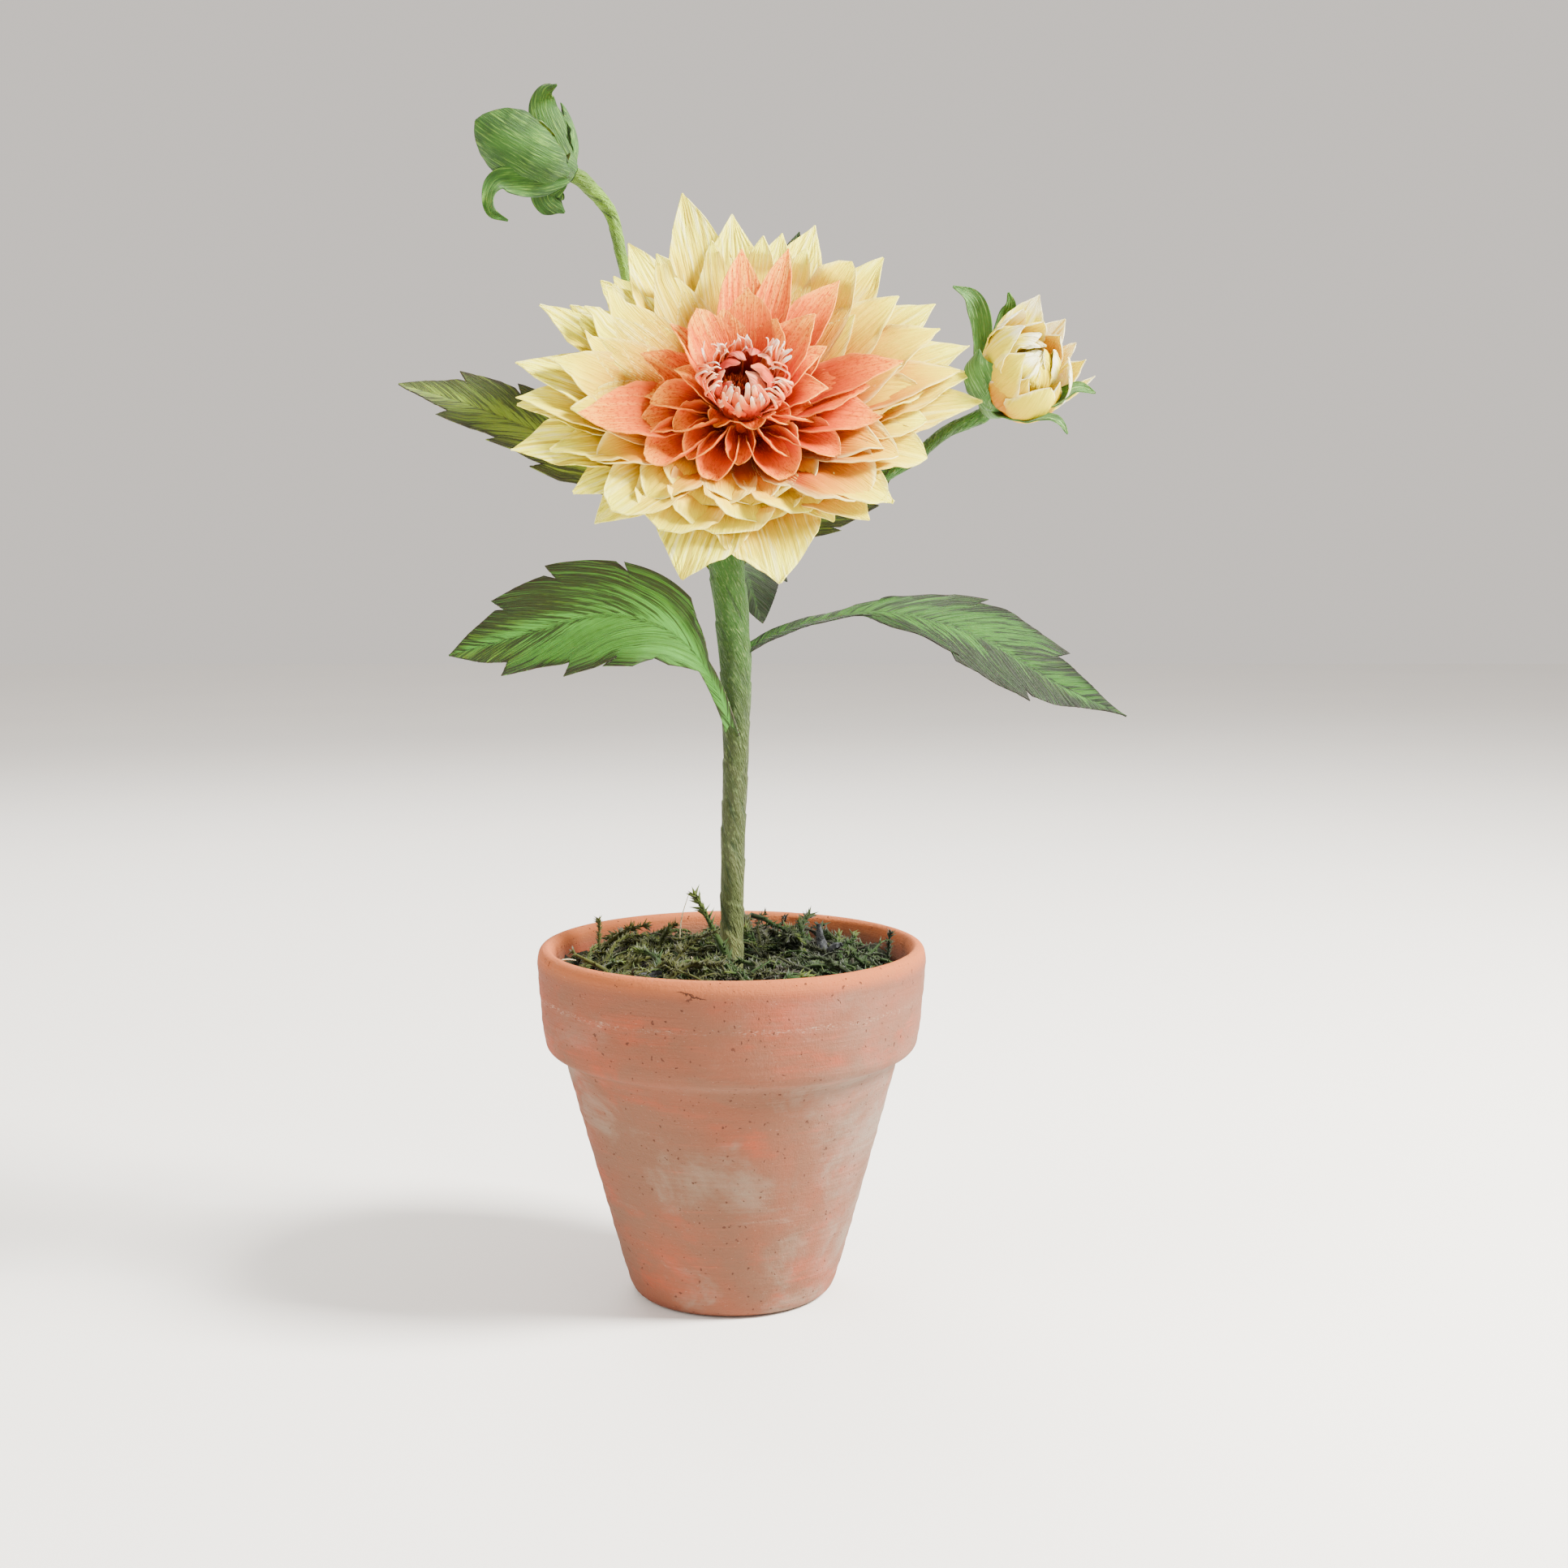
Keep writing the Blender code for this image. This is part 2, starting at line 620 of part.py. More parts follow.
def sepals(name, table, root, body, plant, rule):
    """Green sepals fused to the cup they grow from."""
    leaves = repeats_group(name + "_blades")
    for index, (azimuth, tip_r, tip_h, width, bulge, curl) in enumerate(table):
        grid = petal_points(SEPAL_STATIONS, 3, azimuth, root, (tip_r, tip_h), width, bulge, curl)
        points, rows, across = flat_sheet(rule(grid, SEPAL_SLACK_STEP * index))
        blade(f"{name}_{index}", points, rows, across, BLADE, leaves)
    return fused_node(name, body, leaves, plant)


def build_pot(group):
    """The clay pot: a tapered wall, a thick band below the lip, and a floor with a drain hole."""
    top = POT_HEIGHT
    rim = POT_RIM_RADIUS
    foot = POT_FOOT_RADIUS
    wall = POT_WALL_RADIUS_TOP
    profile = (
        (rim - 4.4, top),
        (rim - 1.6, top - 1.0),
        (rim, top - 5.5),
        (rim - 2.6, BAND_BOTTOM_Z + 7.5),
        (rim - 4.6, BAND_BOTTOM_Z + 2.0),
        (wall + 2.2, BAND_BOTTOM_Z - 1.6),
        (wall, BAND_BOTTOM_Z - 6.0),
        (foot + 4.2, 11.0),
        (foot + 1.6, 2.8),
        (foot - 1.5, 0.0),
        (DRAIN_RADIUS, 0.0),
        (DRAIN_RADIUS, FLOOR_THICKNESS),
        (foot - 5.0, FLOOR_THICKNESS),
        *POT_INNER_WALL,
    )
    return turned("pot", profile, POT_SEGMENTS, group)


def inner_radius(z):
    """Radius of the pot's inner wall at a height above its floor."""
    radii, heights = zip(*POT_INNER_WALL)
    return float(np.interp(z, heights, radii))


def build_soil(group):
    """The soil that fills the pot, with a plain blind hole for the stem."""
    hole = STEM_HOLE_RADIUS
    low = FLOOR_THICKNESS + FIT
    hole_floor = MAIN_STEM[0][2] - FIT
    wall = [(radius - SOIL_CLEARANCE, z) for radius, z in reversed(POT_INNER_WALL[:-1])]
    profile = (
        (0, hole_floor),
        (hole, hole_floor),
        (hole, SOIL_TOP_Z),
        (inner_radius(SOIL_TOP_Z) - SOIL_CLEARANCE, SOIL_TOP_Z),
        *wall,
        (POT_FOOT_RADIUS - 5.6, low),
        (0, low),
    )
    return turned("soil", profile, SOIL_SEGMENTS, group)


def moss_height(x, y):
    """How far the moss mat stands above its mean top: a few low mounds and hollows."""
    waves = 1.9 * np.sin(0.085 * x + 0.6) * np.cos(0.1 * y - 0.4)
    waves += 1.3 * np.sin(0.17 * x - 0.13 * y + 1.1) + 0.8 * np.cos(0.21 * y + 0.12 * x)
    return waves + 2.4 * (np.hypot(x, y) / MOSS_RADIUS) ** 2


def build_moss(group):
    """The moss: a mat round the stem, its top raised by a formula, with strands that stand out."""
    draw = random.Random(MOSS_SEED)
    inner = STEM_HOLE_RADIUS
    radii = inner + (MOSS_RADIUS - inner) * np.linspace(0, 1, MOSS_RINGS) ** 0.8
    profile = [(MOSS_RADIUS, SOIL_TOP_Z + FIT), (inner, SOIL_TOP_Z + FIT)]
    profile += [(float(r), MOSS_TOP_Z) for r in radii]
    mat = turned("moss_mat", profile, MOSS_SPOKES, group)
    bpy.context.view_layer.update()
    mat = link(as_mesh(mat, "moss_mat"), group)
    for vertex in mat.data.vertices:
        if vertex.co.z > (MOSS_TOP_Z - 1) * MM:
            x, y = vertex.co.x / MM, vertex.co.y / MM
            vertex.co.z += float(moss_height(x, y)) * MM
    strands = repeats_group("moss_strands")
    for index in range(MOSS_STRANDS):
        radius = STRAND_NEAREST + STRAND_SPREAD * math.sqrt(draw.random())
        turn = draw.uniform(0, 2 * math.pi)
        x, y = radius * math.cos(turn), radius * math.sin(turn)
        heading = draw.uniform(0, 2 * math.pi)
        reach = draw.uniform(*STRAND_REACH)
        height = draw.uniform(*STRAND_RISE)
        dx, dy = reach * math.cos(heading), reach * math.sin(heading)
        far = math.hypot(x + dx, y + dy)
        if far > MOSS_RADIUS - 4:
            dx, dy = -dx, -dy
        low = MOSS_TOP_Z + float(moss_height(x, y))
        line = (
            (x, y, low - STRAND_DEPTH, STRAND_RADII[0]),
            (x + 0.4 * dx, y + 0.4 * dy, low + 0.7 * height, STRAND_RADII[1]),
            (x + dx, y + dy, low + height, STRAND_RADII[2]),
        )
        tube(f"strand_{index}", smooth_line(line, 4), strands, sides=4)
    return fused_node("moss", mat, strands, group)


def stem_line(points, count, point, axis, drop, radius):
    """A stem's curve, whose last stretch is straight, on a flower's axis, and ends under its cup."""
    step = Vector(axis).normalized()
    start, end = (Vector(point) - step * (drop + back) for back in (0.9 * radius, 0.0))
    curve = smooth_line((*points, (*start, radius)), count - 1)
    return np.vstack([curve, (*end, radius)])


def main_line():
    drop = CALYX_DEPTH - CALYX_TOP + FIT
    end = MAIN_STEM_END
    return stem_line(MAIN_STEM, MAIN_STEM_STATIONS, BLOOM_POINT, bloom_axis(), drop, end)


def bud_stem_line(line, point, axis, radius):
    return stem_line(line, SIDE_STEM_STATIONS, point, axis, CUP_DEPTH + FIT, radius)


def build_stem(plant):
    """The wrapped main stem, with the side stems of the two buds grown from it."""
    branches = repeats_group("side_stems")
    left = bud_stem_line(LEFT_STEM, LEFT_BUD_POINT, LEFT_BUD_AXIS, LEFT_STEM_END)
    right = bud_stem_line(RIGHT_STEM, RIGHT_BUD_POINT, RIGHT_BUD_AXIS, RIGHT_STEM_END)
    tube("left_stem", left, branches, sides=6)
    tube("right_stem", right, branches, sides=6)
    main = tube("main_stem", main_line(), plant, sides=10)
    return fused_node("stem", main, branches, plant)


def cup(name, radius, low, high, sides, group):
    """The small cup under a flower, wider at its top."""
    return core(name, 0.55 * radius, radius, low, high, sides, group)


def build_bloom(plant):
    """The open flower: green calyx, yellow petals, coral ones above them, quills in the middle."""
    seam = 0.5 * FIT
    quill_top = CENTRE_HEIGHT + QUILL_CORE_DEPTH
    base = cup("calyx_cup", CALYX_RADIUS, CALYX_TOP - CALYX_DEPTH, CALYX_TOP, 12, plant)
    low = core("yellow_core", *YELLOW_CORE, CALYX_TOP + FIT, SPLIT_HEIGHT - seam, 16, plant)
    high = core("coral_core", *CORAL_CORE, SPLIT_HEIGHT + seam, CENTRE_HEIGHT - seam, 14, plant)
    middle = core("quill_core", *QUILL_CORE, CENTRE_HEIGHT + seam, quill_top, 12, plant)
    yellow = (YELLOW_RINGS, low, PETAL_STATIONS, plant, below_split, YELLOW_SEED)
    coral = (CORAL_RINGS, high, PETAL_STATIONS, plant, above_split, CORAL_SEED)
    quills = (QUILL_RINGS, middle, QUILL_STATIONS, plant, in_centre, QUILL_SEED)
    parts = (
        sepals("bloom_calyx", CALYX_SEPALS, CALYX_ROOT, base, plant, anywhere),
        whorl("bloom_yellow_petals", *yellow, uneven=1.0, bowl=1.0),
        whorl("bloom_coral_petals", *coral, uneven=1.0, bowl=1.0),
        whorl("bloom_centre", *quills, uneven=1.0),
    )
    for part in parts:
        part.matrix_world = frame_of(BLOOM_POINT, bloom_axis())


def build_bud(side, point, axis, outline, rings, table, plant):
    """A bud: petals wrapped round a core, in a cup of green sepals."""
    foot_radius = outline[0][1]
    core_radius = 0.55 * outline[2][1]
    core_top = 0.62 * outline[-1][0]
    body = core(side + "_core", BUD_CORE_ROOT, core_radius, FIT, core_top, 10, plant)
    base = cup(side + "_cup", 0.95 * foot_radius, -CUP_DEPTH, 0.0, 10, plant)
    root = (0.8 * foot_radius, -0.5 * CUP_DEPTH)
    petals = (rings, body, SEPAL_STATIONS, plant, inside_outline(outline), BUD_SEED)
    parts = (
        whorl(side + "_bud_petals", *petals),
        sepals(side + "_bud_sepals", table, root, base, plant, outside_outline(outline)),
    )
    for part in parts:
        part.matrix_world = frame_of(point, axis)


def leaf_points(line, face_root, face_tip, half, stalk, sets, fold, peak, swell):
    """Points of a toothed leaf's middle sheet, five across.

    Each set of teeth is three rows: the left edge has its tooth's point in the first and the
    notch ahead of it in the second, and the right edge has them in the second and the third.
    A tooth's point is swept forward, past its notch.
    """
    fine = smooth_line(line, 80)
    run = np.concatenate([[0], np.cumsum(np.linalg.norm(np.diff(fine, axis=0), axis=1))])
    blade_run = run[-1] * (1 - stalk)
    stations, left, right = [0.0, 0.5 * stalk, stalk], ["edge"] * 3, ["edge"] * 3
    for tooth in range(sets):
        start = run[-1] * stalk + blade_run * (FIRST_TOOTH + TEETH_SHARE * tooth / sets)
        stations += [(start + TOOTH_STEP * k) / run[-1] for k in range(3)]
        left += ["tip", "notch", "edge"]
        right += ["edge", "tip", "notch"]
    place = np.array([*stations, 1.0])
    gone = place * run[-1]
    centre = np.stack([np.interp(gone, run, column) for column in fine.T], 1)
    slope = np.gradient(fine, run, axis=0)
    ahead = np.stack([np.interp(gone, run, column) for column in slope.T], 1)
    ahead /= np.linalg.norm(ahead, axis=1)[:, None]
    face = np.array(face_root) * (1 - place[:, None]) + np.array(face_tip) * place[:, None]
    side = np.cross(face, ahead)
    side /= np.linalg.norm(side, axis=1)[:, None]
    up = np.cross(ahead, side)
    t = np.clip((place - stalk) / (1 - stalk), 0, 1)
    wide = np.maximum(half * np.sin(math.pi * t**peak) ** swell, LEAF_STALK_HALF * (1 - 0.9 * t))
    grow = {"edge": 1.0, "tip": TOOTH_OUT, "notch": NOTCH_IN}
    sweep = {"edge": 0.0, "tip": TOOTH_REACH, "notch": 0.5}
    points = []
    for lane in LEAF_LANES:
        kinds = [*(left if lane < 0 else right), "edge"]
        outer = abs(lane) == 1
        out = wide * lane * (np.array([grow[kind] for kind in kinds]) if outer else 1)
        forward = np.array([sweep[kind] for kind in kinds]) if outer else 0 * out
        lift = np.abs(out) * math.tan(math.radians(fold))
        across = side * out[:, None] + up * lift[:, None]
        points.append(centre + across + ahead * forward[:, None])
    return np.stack(points, 1)


def build_leaves(plant):
    """The leaves, each cut to the stem's round where it grows from it."""
    cutters = repeats_group("cutters")
    stem_cutter = tube("stem_cutter", main_line(), cutters, sides=10, grow=FIT)
    stem_cutter.hide_render = True
    stem_cutter.display_type = "WIRE"
    for name, leaf in LEAVES.items():
        points, rows, across = flat_sheet(leaf_points(*leaf))
        obj = blade(name, points, rows, across, LEAF_THICKNESS, plant)
        cut = obj.modifiers.new("Stem", "BOOLEAN")
        cut.operation = "DIFFERENCE"
        cut.object = stem_cutter
        cut.solver = "MANIFOLD"


def main():
    clear_scene()
    plant = bpy.data.collections.new("potted_dahlia")
    bpy.context.scene.collection.children.link(plant)
    build_pot(plant)
    build_soil(plant)
    build_moss(plant)
    build_stem(plant)
    build_bloom(plant)
    for side, bud in BUDS.items():
        build_bud(side, *bud, plant)
    build_leaves(plant)
    for obj in bpy.data.objects:
        obj.location.x -= MIDDLE_X * MM
    for obj in plant.objects:
        finish(obj, *FINISHES.get(obj.name, LEAF_FINISH))


main()
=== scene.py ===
"""The looks of a crepe paper dahlia in its clay pot, built round the solid model.

Lengths are in millimetres in the pot's own frame, with the pot's axis at x = y = 0 and the pot
standing on z = 0. add_mesh() moves them to the model's frame, in metres. Finishes read metres.
"""

import math

import bpy
import numpy as np
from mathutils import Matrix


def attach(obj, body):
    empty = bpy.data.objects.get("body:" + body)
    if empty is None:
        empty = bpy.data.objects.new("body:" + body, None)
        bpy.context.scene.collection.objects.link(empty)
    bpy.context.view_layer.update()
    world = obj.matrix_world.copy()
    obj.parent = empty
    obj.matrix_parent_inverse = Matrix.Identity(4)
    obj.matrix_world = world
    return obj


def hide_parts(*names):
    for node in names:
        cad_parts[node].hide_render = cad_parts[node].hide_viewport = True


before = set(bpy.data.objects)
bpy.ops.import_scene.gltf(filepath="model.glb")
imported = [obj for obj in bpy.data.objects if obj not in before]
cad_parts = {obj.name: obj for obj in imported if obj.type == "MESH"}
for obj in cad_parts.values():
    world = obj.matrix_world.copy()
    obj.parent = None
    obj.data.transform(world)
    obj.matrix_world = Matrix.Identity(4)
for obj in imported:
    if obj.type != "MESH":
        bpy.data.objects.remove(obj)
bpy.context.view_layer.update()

MM = 0.001
MIDDLE_X = 12.7
TURN = 2 * math.pi
PETAL_THICK, QUILL_THICK, LEAF_THICK = 0.4, 0.35, 0.5


# Shader maths


class Wire:
    """An output socket. Arithmetic on it adds Math nodes to its recipe."""

    def __init__(self, recipe, socket):
        self.recipe = recipe
        self.socket = socket

    def math(self, operation, first, second):
        return self.recipe.node("ShaderNodeMath", {"operation": operation}, {0: first, 1: second})

    def __add__(self, other):
        return self.math("ADD", self, other)

    def __sub__(self, other):
        return self.math("SUBTRACT", self, other)

    def __rsub__(self, other):
        return self.math("SUBTRACT", other, self)

    def __mul__(self, other):
        return self.math("MULTIPLY", self, other)

    def __pow__(self, other):
        return self.math("POWER", self, other)

    def abs(self):
        return self.math("ABSOLUTE", self, 0)

    __radd__ = __add__
    __rmul__ = __mul__


class Recipe:
    """A material's node tree, which ends in one surface shader."""

    def __init__(self, name, **constants):
        self.material = bpy.data.materials.new(name)
        self.material.use_nodes = True
        self.tree = self.material.node_tree
        self.shader = self.tree.nodes["Principled BSDF"]
        for key, value in constants.items():
            self.shader.inputs[key.replace("_", " ")].default_value = value

    def node(self, kind, settings, inputs, output=0):
        """Adds a node, makes its settings, then feeds its sockets. Returns one output."""
        made = self.tree.nodes.new(kind)
        for key, value in settings.items():
            if key == "stops":
                elements = made.color_ramp.elements
                while len(elements) < len(value):
                    elements.new(0.5)
                for element, (place, colour) in zip(elements, value):
                    element.position = place
                    element.color = colour
            else:
                setattr(made, key, value)
        for key, value in inputs.items():
            self.feed(made.inputs[key], value)
        return Wire(self, made.outputs[output])

    def feed(self, socket, value):
        if isinstance(value, Wire):
            self.tree.links.new(value.socket, socket)
        else:
            socket.default_value = value

    def attribute(self, name):
        return self.node("ShaderNodeAttribute", {"attribute_name": name}, {}, "Vector")

    def spot(self):
        """The place on the piece, in metres."""
        return self.node("ShaderNodeTexCoord", {}, {}, "Object")

    def split(self, vector):
        first = self.node("ShaderNodeSeparateXYZ", {}, {0: vector})
        return [Wire(self, socket) for socket in first.socket.node.outputs]

    def noise(self, vector, scale, detail=2, rough=0.5, warp=0):
        """Noise with scale cells in a metre, a number or one for each direction."""
        if isinstance(scale, tuple):
            stretch = {"operation": "MULTIPLY"}
            vector = self.node("ShaderNodeVectorMath", stretch, {0: vector, 1: scale})
            scale = 1
        sockets = {"Vector": vector, "Scale": scale, "Detail": detail, "Roughness": rough}
        sockets["Distortion"] = warp
        return self.node("ShaderNodeTexNoise", {}, sockets)

    def ease(self, value, low, high):
        """0 below low and 1 above high, with a smooth step between. low may be the higher."""
        if low > high:
            return 1 - self.ease(value, high, low)
        settings = {"interpolation_type": "SMOOTHSTEP"}
        return self.node("ShaderNodeMapRange", settings, {0: value, 1: low, 2: high})

    def ramp(self, value, places, tones):
        """Colours run from one of the tones to the next at the places."""
        stops = [(place, tone(code)) for place, code in zip(places, tones.split())]
        return self.node("ShaderNodeValToRGB", {"stops": stops}, {0: value})

    def mix(self, under, over, share):
        under, over = (tone(c) if isinstance(c, str) else c for c in (under, over))
        return self.node("ShaderNodeMix", {"data_type": "RGBA"}, {0: share, 6: under, 7: over}, 2)

    def coat(self, under, over, value, low, high, share=1):
        """Lays share of the tone over on the colour under, more as the value goes from low to high."""
        return self.mix(under, over, self.ease(value, low, high) * share)

    def finish(self, colour, roughness, height=None, distance=0, strength=0):
        """Feeds the shader. Bumps stand distance metres high where height is 1."""
        self.feed(self.shader.inputs["Base Color"], colour)
        self.feed(self.shader.inputs["Roughness"], roughness)
        if height is not None:
            sockets = {"Strength": strength, "Distance": distance, "Height": height}
            bump = self.node("ShaderNodeBump", {}, sockets)
            self.feed(self.shader.inputs["Normal"], bump)
        return self.material


def tone(code):
    """Linear colour of a screen colour written as six hexadecimal digits."""
    parts = [int(code[i : i + 2], 16) / 255 for i in (0, 2, 4)]
    linear = [p / 12.92 if p <= 0.04045 else ((p + 0.055) / 1.055) ** 2.4 for p in parts]
    return (*linear, 1)


# Finishes. Each piece's points carry "place", which is the share of the way from root to tip, the
# share of the way from the middle to the rim, and a chance number of the petal, leaf or strand. On
# petals that number is a paleness which carries painted light: paler where light falls on the bloom,
# deeper as painted shade between petals.
# Papers also read "grain", which is metres across and along the paper, and a number for the sheet.

# Papers of the petals: places and tones from root to tip, tone of the rim, which is also the painted
# highlight on the crests of the ridges, the painted shade in the valleys between the ridges, tone of
# small specks, and how far out the rim's tone begins.
PETAL_PAPERS = {
    "yellow_crepe": (
        (0.3, 0.44, 0.57, 0.73, 0.88, 1), "A84000 C46C00 DA9200 E8BC00 F2DA00 FCF63C",
        "FEF8A0", "B09C18", None, 0.75,
    ),
    "coral_crepe": (
        (0.15, 0.36, 0.55, 0.78, 1), "8A1400 A82400 D04400 F47400 FFA010",
        "FFB04C", "D85400", "C44000", 0.72,
    ),
    "quill_crepe": (
        (0.1, 0.45, 0.7, 0.9, 1), "901800 CC3C0C E86A30 F6B080 FFF0E0", "FCDCC0", "C03C10", None, 0.86,
    ),
    "pink_crepe": ((0.1, 0.4, 0.8, 1), "A02000 D04828 E46A44 F09A78", "F4AE90", "D0502C", None, 0.86),
    "rose_crepe": ((0.1, 0.5, 0.85, 1), "701004 A02418 B43828 CC6850", "D07460", "982014", None, 0.86),
    "heart_crepe": ((0, 0.5, 1), "4A0804 801A0C B4401E", "A23C24", "641408", None, 0.86),
    "core_crepe": ((0, 1), "C04A08 B8300A", "B8300A", "902806", None, 0.86),
    "bud_crepe": (
        (0.1, 0.3, 0.5, 0.72, 0.9, 1), "B87400 D09C00 DCBC00 ECD800 F8EC38 FFFCC8",
        "FFFCE0", "C8A818", None, 0.8,
    ),
}

# Papers of the leaves: pale, middle, olive and dark tones, and the tone of the rim. The lit and the
# painted shade papers are copies of one crepe toned to the light on their own leaves.
LEAF_PAPERS = {
    "leaf_crepe": "66BE48 488624 6A8A1C 2C3810 261C08",
    "leaf_crepe_lit": "37701C 1C420E 304A0C 0E1A08 141206",
    "leaf_crepe_olive": "7E9B2A 567218 6A7A1C 2C380C 201A08",
    "leaf_crepe_painted_shade": "3A6628 264A1A 34441A 16280C 121406",
}


def petal_paper(name):
    """Crepe paper dyed from root to tip, paler at the rim, with fine ridges along the petal. On the
    paler petals the valleys between the ridges carry painted shade and their crests painted highlight.
    """
    places, tones, rim, valley_shade, speck, rim_from = PETAL_PAPERS[name]
    r = Recipe(
        name, Subsurface_Weight=0.15, Subsurface_Scale=0.003, Subsurface_Radius=(1, 0.55, 0.25),
        Specular_IOR_Level=0.15,
    )
    along, across, chance = r.split(r.attribute("place"))
    grain = r.attribute("grain")
    ridges = r.noise(grain, (620, 28, 1), 4, 0.6)
    fine = r.noise(grain, (1900, 160, 1), 2)
    cloud = r.noise(grain, (90, 60, 1), 3)
    # The petal's paleness, which carries painted light, moves its colour along the ramp.
    place = along + (cloud - 0.5) * 0.22 + (chance - 0.5) * 0.45 + (ridges - 0.5) * 0.1
    colour = r.ramp(place, places, tones)
    # Painted shade in the valleys between the ridges and painted highlight on their crests, towards the tips
    # of the paler petals.
    outer = r.ease(along, 0.3, 0.75) * r.ease(chance, 0.4, 0.95)
    colour = r.coat(colour, valley_shade, ridges, 0.5, 0.4, outer * 0.8)
    colour = r.coat(colour, rim, ridges, 0.51, 0.6, outer * 0.85)
    if speck:
        dots = r.noise(grain, (1300, 620, 1), 3, 0.7)
        colour = r.coat(colour, speck, dots, 0.5, 0.62, 0.8)
    margin = across.abs() + along**6 * 0.25 + (ridges - 0.5) * 0.3
    colour = r.coat(colour, rim, margin, rim_from, 1.25, 0.7 - 0.6 * chance)
    return r.finish(colour, 0.72, ridges * 0.75 + fine * 0.3, 0.0014, 0.9)


def leaf_paper(name):
    """Florist's crepe with its grain fanned from the midrib and brushed with darker strokes,
    most of them on one half, olive towards the tip, with a brown rim."""
    pale, middle, olive, dark, edge = LEAF_PAPERS[name].split()
    r = Recipe(
        name, Sheen_Weight=0.1, Subsurface_Weight=0.05, Subsurface_Scale=0.002, Specular_IOR_Level=0.3
    )
    along, across, _ = r.split(r.attribute("place"))
    grain = r.attribute("grain")
    lines = r.noise(grain, (45, 1250, 1), 4, 0.65)
    strokes = r.noise(grain, (130, 1000, 1), 4, 0.6)
    hairs = r.noise(grain, (180, 3600, 1), 2)
    cloud = r.noise(grain, (42, 110, 1), 3)
    patch = r.noise(grain, (24, 50, 7), 2)
    out = across.abs()
    half = r.ease(across * -1, -0.1, 0.8)
    tip = along * along
    shade = out * 0.25 + half * 0.3 + (along - 0.35).abs() * 0.45 + (cloud - 0.5) * 1.1 + (lines - 0.5) * 1.2
    marks = strokes + half * 0.08 + out * out * 0.07 + tip * 0.1 + (patch - 0.5) * 0.45
    border = out + tip * 0.15 + (strokes - 0.5) * 0.9 + half * 0.08
    colour = r.coat(pale, middle, shade, 0.15, 0.55)
    colour = r.coat(colour, olive, along * 0.8 + out * 0.3 + (patch - 0.5) * 1.4, 0.6, 1, 0.75)
    colour = r.coat(colour, dark, marks, 0.53, 0.64, 0.92)
    colour = r.coat(colour, dark, border, 0.78, 1.05, 0.8)
    colour = r.coat(colour, edge, out + (lines - 0.5) * 0.4, 0.88, 1, 0.85)
    colour = r.coat(colour, dark, out + (hairs - 0.5) * 0.05, 0.05, 0.015, 0.35)
    colour = r.coat(colour, dark, lines, 0.47, 0.35, 0.65)
    colour = r.coat(colour, pale, hairs, 0.54, 0.68, 0.4)
    return r.finish(colour, 0.66, lines * 0.8 + hairs * 0.35 + strokes * 0.3, 0.0019, 1)


def sepal_paper(name, pale, middle, dark):
    """The same crepe on a sepal, with light grain lines that run from its root to its tip."""
    r = Recipe(
        name, Sheen_Weight=0.12, Subsurface_Weight=0.08, Subsurface_Scale=0.002, Specular_IOR_Level=0.3
    )
    _, across, _ = r.split(r.attribute("place"))
    grain = r.attribute("grain")
    lines = r.noise(grain, (1500, 95, 1), 4, 0.65)
    hairs = r.noise(grain, (3200, 260, 1), 2)
    cloud = r.noise(grain, (70, 60, 1), 3)
    colour = r.coat(dark, middle, cloud, 0.3, 0.62)
    colour = r.coat(colour, pale, lines, 0.5, 0.68, 0.7)
    colour = r.coat(colour, dark, lines, 0.46, 0.34, 0.75)
    colour = r.coat(colour, dark, across.abs(), 0.92, 1, 0.5)
    return r.finish(colour, 0.66, lines * 0.8 + hairs * 0.3, 0.0011, 0.8)


def stem_paper(name):
    """Wrapped crepe: slanting wrinkles with painted shade in the folds, greyer near the moss, lime green
    where the thin stem of the left bud bends over."""
    r = Recipe(name, Sheen_Weight=0.1, Specular_IOR_Level=0.3)
    around, run, _ = r.split(r.attribute("grain"))
    slant = r.node("ShaderNodeCombineXYZ", {}, {0: around + run * 0.35, 1: run})
    folds = r.noise(slant, (420, 75, 1), 4, 0.65)
    fine = r.noise(slant, (1500, 420, 1), 3)
    cloud = r.noise(slant, (60, 38, 1), 3)
    x, _, z = r.split(r.spot())
    sway = cloud - 0.5
    places = (0.24, 0.36, 0.42, 0.49, 0.6)
    colour = r.ramp((z + sway * 0.05) * 2, places, "656837 46502A 353F14 2C5010 35651E")
    colour = r.coat(colour, "497729", z + sway * 0.03, 0.33, 0.40, 0.8)
    colour = r.coat(colour, "6E9620", z + sway * 0.02, 0.372, 0.386, r.ease(x, -0.02, -0.03) * 0.85)
    colour = r.coat(colour, "86A05C", fine, 0.52, 0.7, 0.4)
    # Painted shade in the folds of the wrap.
    colour = r.coat(colour, "1E340C", folds, 0.47, 0.35, 0.8)
    colour = r.coat(colour, "2C4212", cloud, 0.5, 0.32, 0.5)
    return r.finish(colour, 0.74, folds * 1.2 + fine * 0.5, 0.0024, 1)


